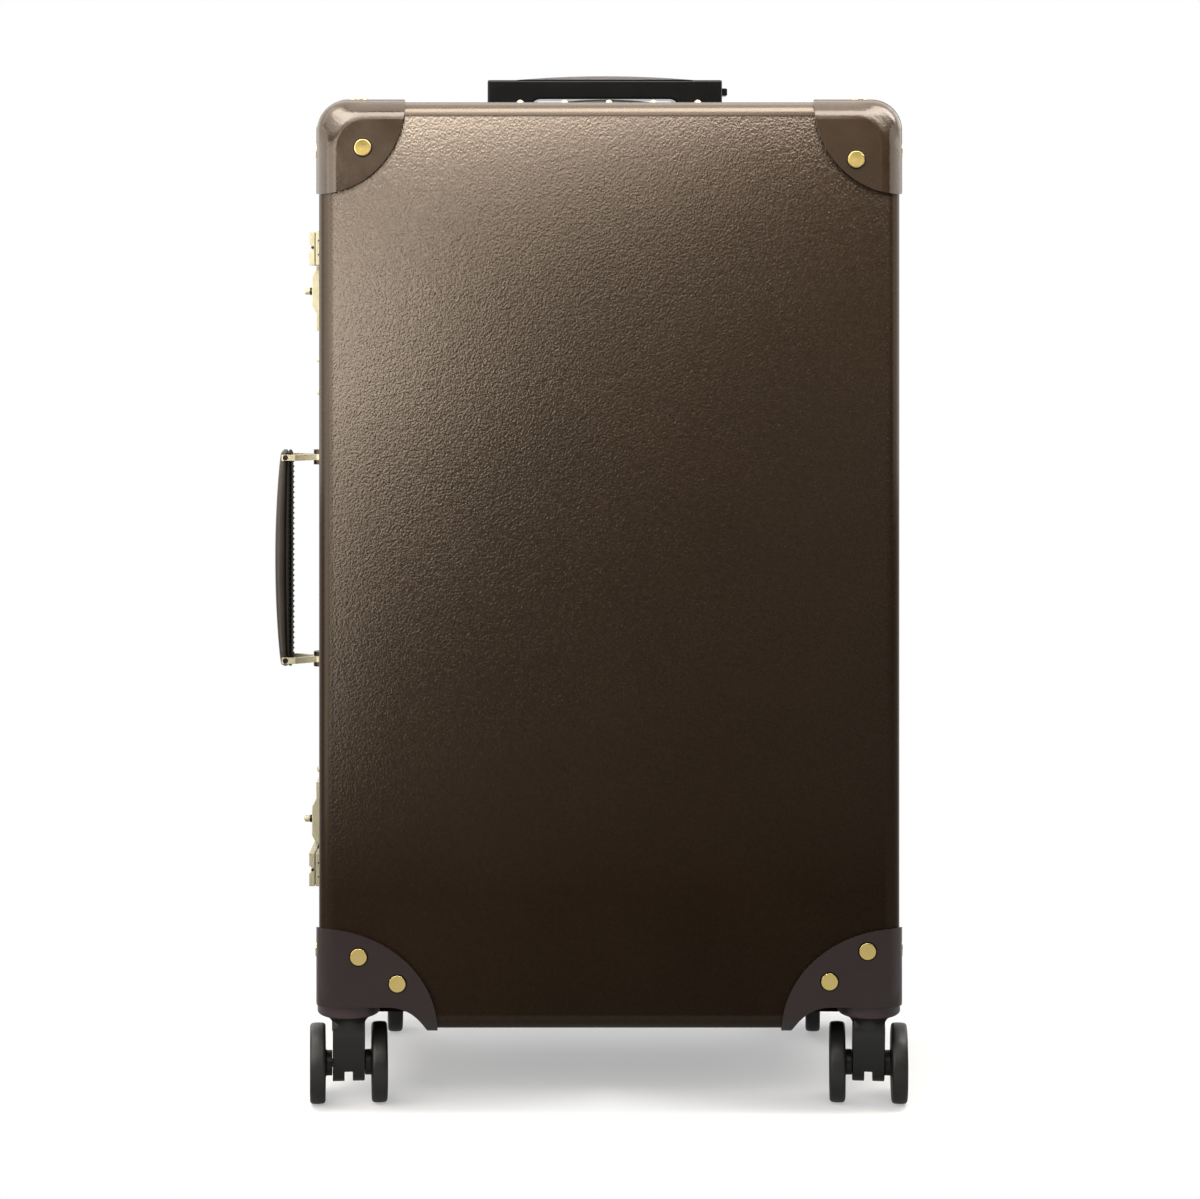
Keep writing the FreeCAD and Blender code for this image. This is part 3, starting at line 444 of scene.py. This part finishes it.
def weld(mesh, crease):
    """Merges points that coincide, turns faces outwards, and keeps edges sharp that turn by more than crease
    degrees."""
    work = bmesh.new()
    work.from_mesh(mesh)
    bmesh.ops.remove_doubles(work, verts=work.verts, dist=same_point)
    bmesh.ops.recalc_face_normals(work, faces=work.faces)
    work.to_mesh(mesh)
    work.free()
    mesh.shade_smooth()
    mesh.set_sharp_from_angle(angle=math.radians(crease))


def make_piece(name, grids, material, body, nodes=(), crease=40, lays=()):
    """One object from grids of points in millimetres: neighbouring points of each grid share quads. Each grid
    is also laid out flat, for patterns that follow it, by flat_uv unless lays names another way for it."""
    points, flats, faces, count = [], [], [], 0
    for grid, lay in zip(grids, lays or [flat_uv] * len(grids)):
        rows, columns = grid.shape[:2]
        index = np.arange(rows * columns).reshape(rows, columns) + count
        quads = [index[:-1, :-1], index[:-1, 1:], index[1:, 1:], index[1:, :-1]]
        faces.append(np.stack(quads, axis=-1).reshape(-1, 4))
        points.append(grid.reshape(-1, 3) * mm)
        flats.append(lay(grid * mm).reshape(-1, 2))
        count += rows * columns
    points, flats, faces = np.concatenate(points), np.concatenate(flats), np.concatenate(faces)
    mesh = bpy.data.meshes.new(name)
    mesh.from_pydata(points, [], faces)
    lay_out = mesh.uv_layers.new(name="lay")
    lay_out.data.foreach_set("uv", flats[faces.ravel()].astype(np.float32).ravel())
    weld(mesh, crease)
    piece = settle(bpy.data.objects.new(name, mesh), material, body, nodes)
    print(name, len(mesh.polygons), "faces on", body)
    return piece


def lathe(profile, centre, axis, turns=40):
    """A profile of (radius, height) pairs turned about an axis through a centre: each point is the centre,
    plus the height along the axis, plus the radius along a direction that goes once round it."""
    axis = np.array(axis, float)
    first = np.cross(axis, [0.0, 0.0, 1.0] if abs(axis[2]) < 0.9 else [1.0, 0.0, 0.0])
    second = np.cross(axis, first)
    angle = np.linspace(0, 2 * math.pi, turns + 1)[None, :, None]
    around = np.cos(angle) * first + np.sin(angle) * second
    radius, height = np.array(profile, float).T[:, :, None, None]
    return np.array(centre, float) + height * axis + radius * around


def arc(centre, radius, start, end, steps=6):
    """Points of a circle's arc from one angle to another, in degrees, as (first, second) pairs."""
    angle = np.radians(np.linspace(start, end, steps))
    return [(centre[0] + radius * math.cos(a), centre[1] + radius * math.sin(a)) for a in angle]


print("helpers ready")

# %% [markdown]
# Sheet metal and moulded parts never have knife edges: tumbling, brushing or the mould rounds them by a few
# tenths of a millimetre, and that round is what catches the light. These pieces copy the CAD surface, weld
# its loose triangles into whole faces, and let a Bevel round every edge that turns by more than 35 degrees.
# Inside corners stay sharp: a fillet there would fill room that another piece needs when it moves.

# %% Round the edges of hard parts
sharp_turn, same_plane = math.radians(35), math.radians(0.4)


def soften(node, width, material=None, segments=3):
    """A copy of a CAD surface with rounded edges: triangles in one plane are joined, then the edges that
    stand out get a weight of one, and the bevel follows that weight."""
    work = bmesh.new()
    work.from_mesh(frame["nodes"][node].data)
    bmesh.ops.remove_doubles(work, verts=work.verts, dist=same_point)
    bmesh.ops.dissolve_limit(work, angle_limit=same_plane, verts=work.verts, edges=work.edges)
    outer = [float(edge.is_convex and edge.calc_face_angle(0.0) > sharp_turn) for edge in work.edges]
    mesh = bpy.data.meshes.new("soft_" + node)
    work.to_mesh(mesh)
    work.free()
    mesh.attributes.new("bevel_weight_edge", "FLOAT", "EDGE").data.foreach_set("value", outer)
    mesh.shade_smooth()
    mesh.set_sharp_from_angle(angle=sharp_turn)
    piece = bpy.data.objects.new("soft_" + node, mesh)
    chosen = material or special.get(node, material_of[finish_of[node]])
    settle(piece, chosen, body_of[node], [node])
    bevel = piece.modifiers.new("rounded_edges", "BEVEL")
    bevel.width = width * mm
    bevel.segments = segments
    bevel.limit_method = "WEIGHT"
    bevel.harden_normals = True


rounded = {
    "latch_bodies": 0.5, "lid_catches": 0.4, "latch_flap_upper": 0.7, "latch_flap_lower": 0.7,
    "base_hinge_leaves": 0.35, "lid_hinge_leaves": 0.35, "side_handle_stirrups": 0.8,
    "side_handle_brackets": 1.4, "trolley_bezel": 0.7, "trolley_grip": 2.0, "trolley_grip_pad": 0.7,
    "trolley_button": 0.5, "strap_buckle": 0.8,
}
rounded.update({"caster_fork_" + place: 1.5 for place in places})
for node, width in rounded.items():
    soften(node, width)
print("rounded the edges of", len(rounded), "nodes")

# %% [markdown]
# The caps wrap each corner of the case. Their CAD copies already follow the case all round; a wider bevel
# gives the cut edge of the hide the slightly crowned, burnished look that leather workers rub into it.

# %% Leather corner caps
caps = [f"{half}_cap_{level}_{side}" for half in ("lid", "base") for level in ("top", "bottom")
        for side in ("left", "right")]
for node in caps:
    soften(node, 0.9, cap_hide, 4)
print("made", len(caps), "caps")

# %% [markdown]
# Each cap is held by flat rivets: a brass disc with a faintly crowned face, clenched into the hide. Round
# each disc a thin ring of blackened hide is laid: a painted shadow of the disc. A profile turned about the
# rivet's axis gives the disc, and a second one the ring. Their places repeat the part's own insets from the
# edges of the case, mirrored front to back.

# %% Flat cap rivets
hide, rivet_depth, side_drop, side_rise, top_inset = 2.0, 20.0, 34.0, 54.0, 28.0
face_insets = {(-1, 1): [(32.0, 33.0)], (1, 1): [(32.0, 41.5)],
               (-1, -1): [(29.0, 53.0), (56.5, 34.0)], (1, -1): [(24.0, 57.0), (51.0, 35.5)]}
disc = [(0, 1.2), (2.5, 1.19), (5.3, 1.15)] + arc((5.6, 0.83), 0.32, 90, 0, 6) + [(5.92, 0.05)]
ring_shadow_profile = [(5.6, 0.12), (6.2, 0.16), (6.7, 0.12), (6.9, 0.02)]


def cap_rivets(front):
    """Seats and outward axes of the rivets of one half: on the face, on the side and on the top."""
    seats = []
    for (sx, sz), insets in face_insets.items():
        edge = top_edge if sz > 0 else low_edge
        for inset_x, inset_z in insets:
            seat = (sx * (half_width - inset_x), front * (half_depth + hide), edge - sz * inset_z)
            seats.append((seat, (0, front, 0)))
        deep = front * (half_depth - rivet_depth)
        side_inset = side_drop if sz > 0 else side_rise
        seats.append(((sx * (half_width + hide), deep, edge - sz * side_inset), (sx, 0, 0)))
        if sz > 0:
            seats.append(((sx * (half_width - top_inset), deep, top_edge + hide), (0, 0, 1)))
    return seats


for half, front in (("lid", -1), ("base", 1)):
    seats = cap_rivets(front)
    discs = [lathe(disc, seat, axis, 32) for seat, axis in seats]
    # The rings are painted shadow: blackened hide laid round each disc.
    rings = [lathe(ring_shadow_profile, seat, axis, 32) for seat, axis in seats]
    make_piece(half + "_rivet_discs", discs, rivet_brass, half, [half + "_cap_rivets"], 50)
    make_piece(half + "_rivet_shadow_rings", rings, edge_hide, half)

# %% [markdown]
# Small dark parts make the latches read as metalwork: the end of the pin in each flap, two rivets in each
# catch, and the sleeve between each knob and its lock. All are turned profiles of a millimetre or two.

# %% Latch pins and sleeves
head = [(0, 0.14), (0.75, 0.13), (1.0, 0.1), (1.12, 0.0)]
stud = [(0, 0.12), (0.4, 0.11), (0.6, 0.07), (0.66, 0.0)]
sleeve = [(2.3, 0.1), (2.75, 0.2), (2.75, 2.2), (2.3, 2.4)]
catch_face, knob_depth, stud_gap = -76.3, -42.7, 5.1
pin_side, stud_side, sleeve_side = -214.7, -210.4, -217.2
forward, leftward = (0, -1, 0), (-1, 0, 0)
for level, knob, pin in (("upper", 587.3, 619.0), ("lower", 198.0, 167.1)):
    pin_end = lathe(head, (pin_side, catch_face, pin), forward, 20)
    studs = [lathe(stud, (stud_side, catch_face, pin + dz), forward, 16) for dz in (-stud_gap, stud_gap)]
    collar = lathe(sleeve, (sleeve_side, knob_depth, knob), leftward, 24)
    make_piece("latch_pin_" + level, [pin_end], bronze, "latch_flap_" + level)
    make_piece("catch_studs_" + level, studs, bronze, "lid")
    make_piece("knob_sleeve_" + level, [collar], bronze, "latch_knob_" + level)

# %% [markdown]
# The carrying handle is a strip of hide folded round a stiff core and sewn along the inside with a whip
# stitch, whose loops scallop the edge. The body is a rounded section carried along the handle: it is bowed on
# the outside, straight on the inside, and drawn in at both ends. The inner part is a second strip, blackened.

# %% Side handle
grip_low, grip_high, grip_half = 304.8, 468.2, 10.9
grip_inner, grip_outer, grip_bow = -236.4, -245.2, 4.3
thread, loop, stitch_count = 0.45, 1.4, 38


def squircle(angle, power):
    """A rounded rectangle of half size 1: cosine and sine are raised to 2 / power, with their signs kept."""
    c, s = np.cos(angle), np.sin(angle)
    return np.sign(c) * np.abs(c) ** (2 / power), np.sign(s) * np.abs(s) ** (2 / power)


def grip_strip(start, end, grow):
    """The part of the handle between two shares of its thickness, 0 inside and 1 outside: x runs from the
    straight inner side to the bowed outer one, y is half the width, and both shrink at the ends."""
    t = np.linspace(-1, 1, 73)[:, None]
    pinch = np.maximum(1 - np.abs(t) ** 14, 0) ** (1 / 5)
    outer = grip_outer - grip_bow * (1 - t ** 2)
    near, far = grip_inner + (outer - grip_inner) * start, grip_inner + (outer - grip_inner) * end
    c, s = squircle(np.linspace(0, 2 * math.pi, 49)[None, :], 3.4)
    x = (near + far) / 2 + (far - near) / 2 * c * (0.4 + 0.6 * pinch)
    y = (grip_half + grow) * s * pinch
    z = (grip_low + grip_high) / 2 + (grip_high - grip_low) / 2 * t + 0 * x
    return np.stack(np.broadcast_arrays(x, y, z), axis=-1)


make_piece("handle_hide", [grip_strip(0.3, 1.0, 0.0)], grip_hide, "side_handle",
           ["side_handle_grip"])
make_piece("handle_core", [grip_strip(0.02, 0.42, -0.5)], edge_hide, "side_handle")


def whip_stitches(side, count):
    """Loops of thread over the inner edge: each is a tube of the thread's radius, bent over a part of a
    circle and leaned along the handle."""
    z = np.linspace(grip_low + 9, grip_high - 9, count)
    bend = np.radians(np.linspace(-70, 160, 11))[:, None]
    tube = np.linspace(0, 2 * math.pi, 8)[None, :]
    radius = loop + thread * np.cos(tube)
    x = grip_inner - 1.65 + radius * np.cos(bend)
    y = side * (grip_half - 1.7 + radius * np.sin(bend))
    lean = 1.1 * np.linspace(-1, 1, 11)[:, None]
    return [np.stack(np.broadcast_arrays(x, y, level + lean + thread * np.sin(tube)), axis=-1) for level in z]


stitches = whip_stitches(-1, stitch_count) + whip_stitches(1, stitch_count)
make_piece("handle_stitches", stitches, edge_hide, "side_handle")

# %% [markdown]
# Each caster has two wheels: a nylon hub with a polyurethane tyre cast round it. One profile, turned about
# the axle, gives the tread, its rounded shoulders, the sidewall and the dished hub. The hub's five pockets
# come from moving the dish inwards by a cosine of five times the angle, faded out at the rim and the
# centre.

# %% Caster wheels
tread, trail, toe_angle, pockets, pocket_depth = 28.5, 14.0, 5.0, 5, 1.5
swivel_x, swivel_y, wheel_turns = 187.0, 94.0, 60
wheel_profile = ([(3.1, 11.8), (8.6, 11.8), (9.0, 12.2), (9.0, 15.6), (9.6, 16.4), (24.0, 16.6)]
                 + arc((25.9, 19.0), 2.4, -90, 0, 7) + [(tread, 21.3), (tread, 23.2)]
                 + arc((25.9, 25.5), 2.4, 0, 90, 7)
                 + [(22.4, 27.9), (21.6, 27.0), (20.8, 26.8), (20.0, 27.4), (17.0, 27.5), (14.0, 27.4),
                    (11.0, 27.4), (8.0, 27.6), (6.6, 27.7), (6.0, 28.0), (0.0, 28.0)])


def wheel_pair(sx, sy):
    """The two wheels of a caster: the profile turned about the axle, outwards on both sides of the fork, and
    then the axle turned about the swivel by the toe angle, as the casters stand."""
    toe = -sx * math.radians(toe_angle)
    toed = np.array([[math.cos(toe), math.sin(toe), 0], [-math.sin(toe), math.cos(toe), 0], [0, 0, 1]])
    radius, height = np.array(wheel_profile).T
    dish = np.clip((radius - 7.5) / 3, 0, 1) * np.clip((20.4 - radius) / 3, 0, 1) * (height > 26.9)
    angle = np.linspace(0, 2 * math.pi, wheel_turns + 1)
    pocket = np.clip(np.cos(pockets * angle) * 1.6 + 0.3, 0, 1)
    grids = []
    for side in (-1, 1):
        grid = lathe(wheel_profile, (0, trail, tread), (side, 0, 0), wheel_turns)
        grid[:, :, 0] -= side * pocket_depth * dish[:, None] * pocket[None, :]
        grids.append(grid @ toed + np.array([sx * swivel_x, sy * swivel_y, 0.0]))
    return grids


for place, (sx, sy) in zip(places, ((-1, -1), (1, -1), (-1, 1), (1, 1))):
    make_piece("wheels_cast_" + place, wheel_pair(sx, sy), tyre, "wheels_" + place,
               ["caster_wheels_" + place], 35)

# %% [markdown]
# Inside, the shells are lined with woven cloth glued to thin board. In the lid it makes a tray: it goes
# down the four walls and over the bottom, and rides up over the two caster wells. Walking round a rounded
# rectangle and from the rim to the middle gives both parameters. Cloth never lies dead flat, so low waves
# are added.

# %% Linings
inner_walls = (203.2, 65.8, 718.2, 16.0)
middle = np.array([0.0, mid_height])
wall_half, wall_rows = 203, 15
well_side, well_top, well_floor = 112, 95, 87.5
tray_rim, tray_depth, band_front, band_back, cloth_depth = -64.75, 50.65, -46.9, 60.8, 0.6


def ring_path(half_x, low, high, radius, count=280):
    """A rounded rectangle in X and Z, once round: straight sides joined by quarter circles, evenly spaced."""
    corners = [(half_x - radius, high - radius, 0), (radius - half_x, high - radius, 90),
               (radius - half_x, low + radius, 180), (half_x - radius, low + radius, 270)]
    dense = np.array([p for x, z, start in corners for p in arc((x, z), radius, start, start + 90, 12)])
    dense = np.vstack([dense, dense[:1]])
    walked = np.concatenate([[0.0], np.cumsum(np.linalg.norm(np.diff(dense, axis=0), axis=1))])
    at = np.linspace(0, walked[-1], count)
    return np.stack([np.interp(at, walked, dense[:, i]) for i in (0, 1)], axis=-1)


def smooth_step(value):
    """Eases from 0 to 1 as value goes from 0 to 1: three squares less two cubes."""
    value = np.clip(value, 0, 1)
    return value * value * (3 - 2 * value)


def lid_tray():
    """The lid's lining, its walls and then its bottom: share goes from 0 at the rim to 1 on the bottom, where
    the ring shrinks to the middle. Over the casters the lower wall is lifted, and a facing falls to the rim.
    """
    ring = ring_path(*inner_walls, 480)
    down, inward = np.linspace(0, 1, wall_rows - 1), np.linspace(0, 1, 40)[1:] ** 0.8
    share = np.concatenate([[-0.004], down, 1 + inward])
    wall, floor = np.clip(share, 0, 1), np.maximum(share - 1, 0)
    spread = 1 - floor[:, None, None]
    xz = middle + (ring - middle)[None] * spread * (1 - 0.022 * smooth_step(wall * 4 - 3)[:, None, None])
    x, z = xz[..., 0], xz[..., 1]
    well = smooth_step((np.abs(x) - well_side) / 16) * smooth_step((well_top - z) / 10)
    z = z + well * np.maximum(well_floor - z, 0) * (share >= 0)[:, None]
    walk = np.linspace(0, 2 * math.pi, ring.shape[0])[None, :]
    ripple = 0.35 * np.sin(46 * walk + 2 * np.sin(5 * walk)) * np.sin(math.pi * wall[:, None])
    sag = 0.5 * np.sin(x / 47 + 1) * np.sin(z / 61) * floor[:, None] * (1 - floor[:, None]) * 4
    bottom = 0.9 * smooth_step(wall * 5 - 4)
    y = tray_rim - tray_depth * np.minimum(share, 1)[:, None] + bottom[:, None] + 0.8 * sag + 0 * x
    tray = np.stack([x * (1 - ripple / wall_half), y, z], axis=-1)
    return [tray[:wall_rows], tray[wall_rows - 1:]]


def base_band():
    """The base's lining: a band round the four walls, gently tucked, from the frame back to the panel."""
    ring = ring_path(*inner_walls)
    share = np.linspace(0, 1, 30)[:, None]
    walk = np.linspace(0, 2 * math.pi, ring.shape[0])[None, :]
    tuck = 0.4 * np.sin(52 * walk + 3 * np.sin(4 * walk)) * np.sin(math.pi * share)
    pull = 1 - (0.3 + tuck) / wall_half
    x, z = ring[None, :, 0] * pull, mid_height + (ring[None, :, 1] - mid_height) * pull
    y = band_front + (band_back - band_front) * share + 0 * x
    return np.stack([x, y, z], axis=-1)


def thicken(piece, depth):
    """Gives a cloth surface its thickness, half to each side."""
    wall = piece.modifiers.new("cloth_thickness", "SOLIDIFY")
    wall.thickness = depth * mm
    wall.offset = 0


tray_cloth = make_piece("lid_tray_cloth", lid_tray(), lining_cloth, "lid", ["lid_lining"],
                        lays=[flat_uv, panel_uv])
band_cloth = make_piece("base_band_cloth", [base_band()], lining_cloth, "base",
                        ["base_lining"])
for cloth in (tray_cloth, band_cloth):
    thicken(cloth, cloth_depth)

# %% [markdown]
# The trolley tubes hide behind a board with cloth glued on. The board's edge is rounded under the cloth, so
# its face rises a little from the rim; the ring is carried from the rim to the middle, once for the face
# and once for the flat back.

# %% Cover panel
rim_width, face_rise, face_foot, board_rim, board_back = 14.0, 1.4, 63.1, 64.0, 64.4


def board_face(front):
    """The board's face or back: the ring shrinks to the middle, and the face rises from the rim along a
    quarter of an ellipse."""
    ring = ring_path(*inner_walls)
    share = np.linspace(0, 1, 44) ** 1.6
    xz = middle + (ring - middle)[None] * (1 - share[:, None, None])
    inward = np.minimum(share * half_height, rim_width)[:, None]
    rise = np.sqrt(np.maximum(1 - (1 - inward / rim_width) ** 2, 0)) * face_rise
    y = (face_foot - rise if front else board_back) + 0 * xz[..., 0]
    y = np.where(share[:, None] < 1e-6, board_rim, y)
    return np.stack([xz[..., 0], y, xz[..., 1]], axis=-1)


make_piece("cover_board_cloth", [board_face(True), board_face(False)], lining_cloth, "base",
           ["trolley_cover_panel"], 60, [panel_uv, panel_uv])

# %% [markdown]
# Two webbing straps cross the board and meet in a buckle. Webbing is a flat weave with a rounded selvedge:
# a thin rounded section is carried from the buckle to the side wall along a line that waves by half a
# millimetre, since webbing is never cut quite straight.

# %% Packing straps
strap_half, strap_depth, strap_level, buckle_end, wall_end = 12.4, 0.62, 60.72, 20.5, 202.6


def strap(side):
    """A webbing strap from the buckle to the side wall: a section 25 by 1.2 mm along a gently waving line."""
    t = np.linspace(0, 1, 60)[:, None]
    c, s = squircle(np.linspace(0, 2 * math.pi, 33)[None, :], 6)
    close = np.where((t == 0) | (t == 1), 0.001, 1.0)
    x = side * (buckle_end + (wall_end - buckle_end) * t) + 0 * c
    y = strap_level + 0.12 * np.sin(9 * t) + strap_depth * s * close
    z = mid_height + strap_half * c * close + 0.6 * np.sin(7 * t)
    return np.stack([x, y, z], axis=-1)


make_piece("packing_strap_webbing", [strap(-1), strap(1)], webbing, "base", ["packing_straps"], 50)

# %% [markdown]
# The photograph was taken on white paper, from straight in front, with a long lens at about three quarters of
# the case's height. The camera looks level, so upright edges stay upright, and the lens shift brings the case
# into the frame as the photographer's crop does.

# %% Camera
camera = bpy.data.objects.new("portrait_camera", bpy.data.cameras.new("portrait_camera"))
camera.location = (-36.7 * mm, -2.020, 0.581)
camera.rotation_euler = (math.radians(90), 0, 0)
camera.data.lens = 80.3
camera.data.sensor_width = 36.0
camera.data.shift_x = 0.0352
camera.data.shift_y = -0.2497
bpy.context.scene.collection.objects.link(camera)
bpy.context.scene.camera = camera
print("camera at", tuple(round(v, 3) for v in camera.location))

# %% [markdown]
# White paper under and behind the case is what makes its black edges crisp. The floor keeps real shadows
# near the case: part of its light is its own, as paper under a lightbox has, and part comes from the lamps.
# Further out it melts into plain white. Mirrors see the same paper behind the case, and a dim studio in
# front of it.

# %% Floor
floor_glow = 0.35


def paper_floor():
    material, tree, shader = start_material("white_paper")
    place = add(tree, "TexCoord").outputs["Object"]
    away = add(tree, "Mapping", {"Vector": place, "Location": (0.0, -0.15, 0.0), "Scale": (1.0, 1.3, 0.0)})
    reach = axes(tree, combine_vectors(tree, "ABSOLUTE", away.outputs[0]))
    lean = combine(tree, "MULTIPLY_ADD", reach["X"], -0.4, reach["Y"])
    front = ramp(tree, lean, 0.19, 0.31, easing="SMOOTHSTEP")
    sides = ramp(tree, reach["X"], 0.22, 0.42, easing="SMOOTHSTEP")
    far = combine(tree, "MAXIMUM", front, sides)
    rays = add(tree, "LightPath").outputs
    fill(tree, shader, {
        "Base Color": mix(tree, rays["Is Camera Ray"], linear("#707070"), linear("#F2F2F2")),
        "Roughness": 0.9,
        "Normal": raised(tree, noise(tree, place, 1.5), 0.05 * mm, 0.05),
        "Specular IOR Level": 0.0,
    })
    seen = combine(tree, "MAXIMUM", rays["Is Camera Ray"], rays["Is Glossy Ray"])
    seen = combine(tree, "MAXIMUM", seen, rays["Is Transmission Ray"])
    depth = axes(tree, place)["Y"]
    ahead = ramp(tree, depth, -1.3, -0.8, 0.0, 0.5)
    mirror = combine(tree, "ADD", ahead, ramp(tree, depth, 0.1, 0.6, 0.0, 0.5))
    level = combine(tree, "MAXIMUM", rays["Is Camera Ray"], mirror)
    own = combine(tree, "MULTIPLY", ramp(tree, far, 0.0, 1.0, floor_glow, 1.0), seen)
    own = combine(tree, "MULTIPLY", own, level)
    white = add(tree, "Emission", {"Color": (1, 1, 1, 1), "Strength": 1.0})
    mixed = add(tree, "MixShader", {0: own, 1: shader.outputs[0], 2: white.outputs[0]})
    output = next(node for node in tree.nodes if node.type == "OUTPUT_MATERIAL")
    fill(tree, output, {"Surface": mixed.outputs[0]})
    return material


floor_mesh = bpy.data.meshes.new("paper_floor")
floor_mesh.from_pydata([(-30, -30, 0), (30, -30, 0), (30, 30, 0), (-30, 30, 0)], [], [(0, 1, 2, 3)])
floor = bpy.data.objects.new("paper_floor", floor_mesh)
bpy.context.scene.collection.objects.link(floor)
floor_mesh.materials.append(paper_floor())
print("floor", floor.name)

# %% [markdown]
# The world is the studio. A camera sees it white. Mirrors see white behind the case and almost black in
# front of it, with an eased step between them, and it lights the rest at six tenths of that.

# %% World
world = bpy.data.worlds.new("white_studio")
bpy.context.scene.world = world
world.use_nodes = True
sky = world.node_tree
sky.nodes.clear()
ray = axes(sky, add(sky, "TexCoord").outputs["Generated"])
behind = ramp(sky, ray["Y"], 0.05, 0.6, 0.03, 1.0, "SMOOTHSTEP")
paths = add(sky, "LightPath").outputs
mirrored = combine(sky, "MAXIMUM", paths["Is Glossy Ray"], paths["Is Transmission Ray"])
shown = combine(sky, "MULTIPLY", mix(sky, mirrored, 0.6, 1.0, "FLOAT"), behind)
glow = combine(sky, "MAXIMUM", shown, paths["Is Camera Ray"])
backdrop = add(sky, "Background", {"Color": (1, 1, 1, 1), "Strength": glow})
add(sky, "OutputWorld", {"Surface": backdrop.outputs[0]})
print("world", world.name)

# %% [markdown]
# Two strips stand close to the case, one above its front edge and one to its left. Being so near, their
# light falls off quickly. Two soft boxes further forward, left and above, lay the broad sheen on the panel,
# so it shines along its top and left and sinks into brown at the lower right, where a third one is very
# weak. Walls at both sides and overhead, and small cards by the upper corners, are what the round edges,
# the caps and the brass mirror. Three large, neutral lamps fill the rest; the front one stays out of
# mirrors.

# %% Lamps
warm, white = (1.0, 0.94, 0.87), (1.0, 1.0, 1.0)


def area_light(name, place, aim, size, power, colour):
    """A rectangular lamp at a place that looks towards an aim, of a width and a height in metres."""
    data = bpy.data.lights.new(name, "AREA")
    data.shape = "RECTANGLE"
    data.size, data.size_y = size
    data.energy = power
    data.color = colour
    lamp = bpy.data.objects.new(name, data)
    lamp.location = place
    lamp.rotation_euler = (Vector(aim) - Vector(place)).to_track_quat("-Z", "Y").to_euler()
    lamp.visible_camera = False
    bpy.context.scene.collection.objects.link(lamp)
    return lamp


near_lamps = {
    "strip_above": ((0.12, -0.263, 0.89), (0.1, -0.103, 0.63), (0.98, 0.14), 6.1),
    "strip_left": ((-0.53, -0.38, 0.44), (-0.13, -0.08, 0.4), (0.3, 0.64), 2.9),
    "box_left": ((-0.62, -1.22, 0.69), (-0.12, -0.12, 0.54), (0.44, 0.46), 4.1),
    "box_right": ((0.75, -1.22, 0.35), (0.15, -0.12, 0.35), (0.44, 0.7), 0.33),
    "box_above": ((-0.13, -1.22, 1.14), (-0.03, -0.12, 0.65), (0.78, 0.34), 4.4),
    "wall_left": ((-0.55, -0.03, 0.72), (0.0, -0.03, 0.72), (0.46, 0.6), 2.7),
    "card_left": ((-0.42, -0.32, 0.96), (-0.2, -0.12, 0.72), (0.34, 0.34), 1.5),
    "card_right": ((0.44, -0.3, 0.96), (0.2, -0.12, 0.72), (0.22, 0.22), 0.55),
    "wall_right": ((0.58, -0.06, 0.72), (0.0, -0.06, 0.72), (0.54, 0.6), 2.2),
    "wall_above": ((0.0, -0.02, 1.12), (0.0, -0.02, 0.7), (1.3, 0.5), 7.0),
    "card_front": ((0.04, -2.3, 0.78), (0.04, 0.0, 0.7), (1.0, 0.1), 0.6),
}
for name, row in near_lamps.items():
    area_light(name, *row, warm)
front = area_light("soft_front", (0.3, -2.6, 1.5), (0.0, 0.0, 0.4), (1.8, 1.8), 34.0, white)
front.visible_glossy = False
area_light("soft_right", (1.7, 0.6, 1.5), (0.0, 0.0, 0.4), (1.4, 1.4), 14.0, white)
area_light("soft_back", (-1.2, 1.9, 1.6), (0.0, 0.0, 0.4), (1.4, 1.4), 14.0, white)

# %% [markdown]
# Last comes the picture's own view transform.

# %% Finish
bpy.context.scene.view_settings.view_transform = "Standard"
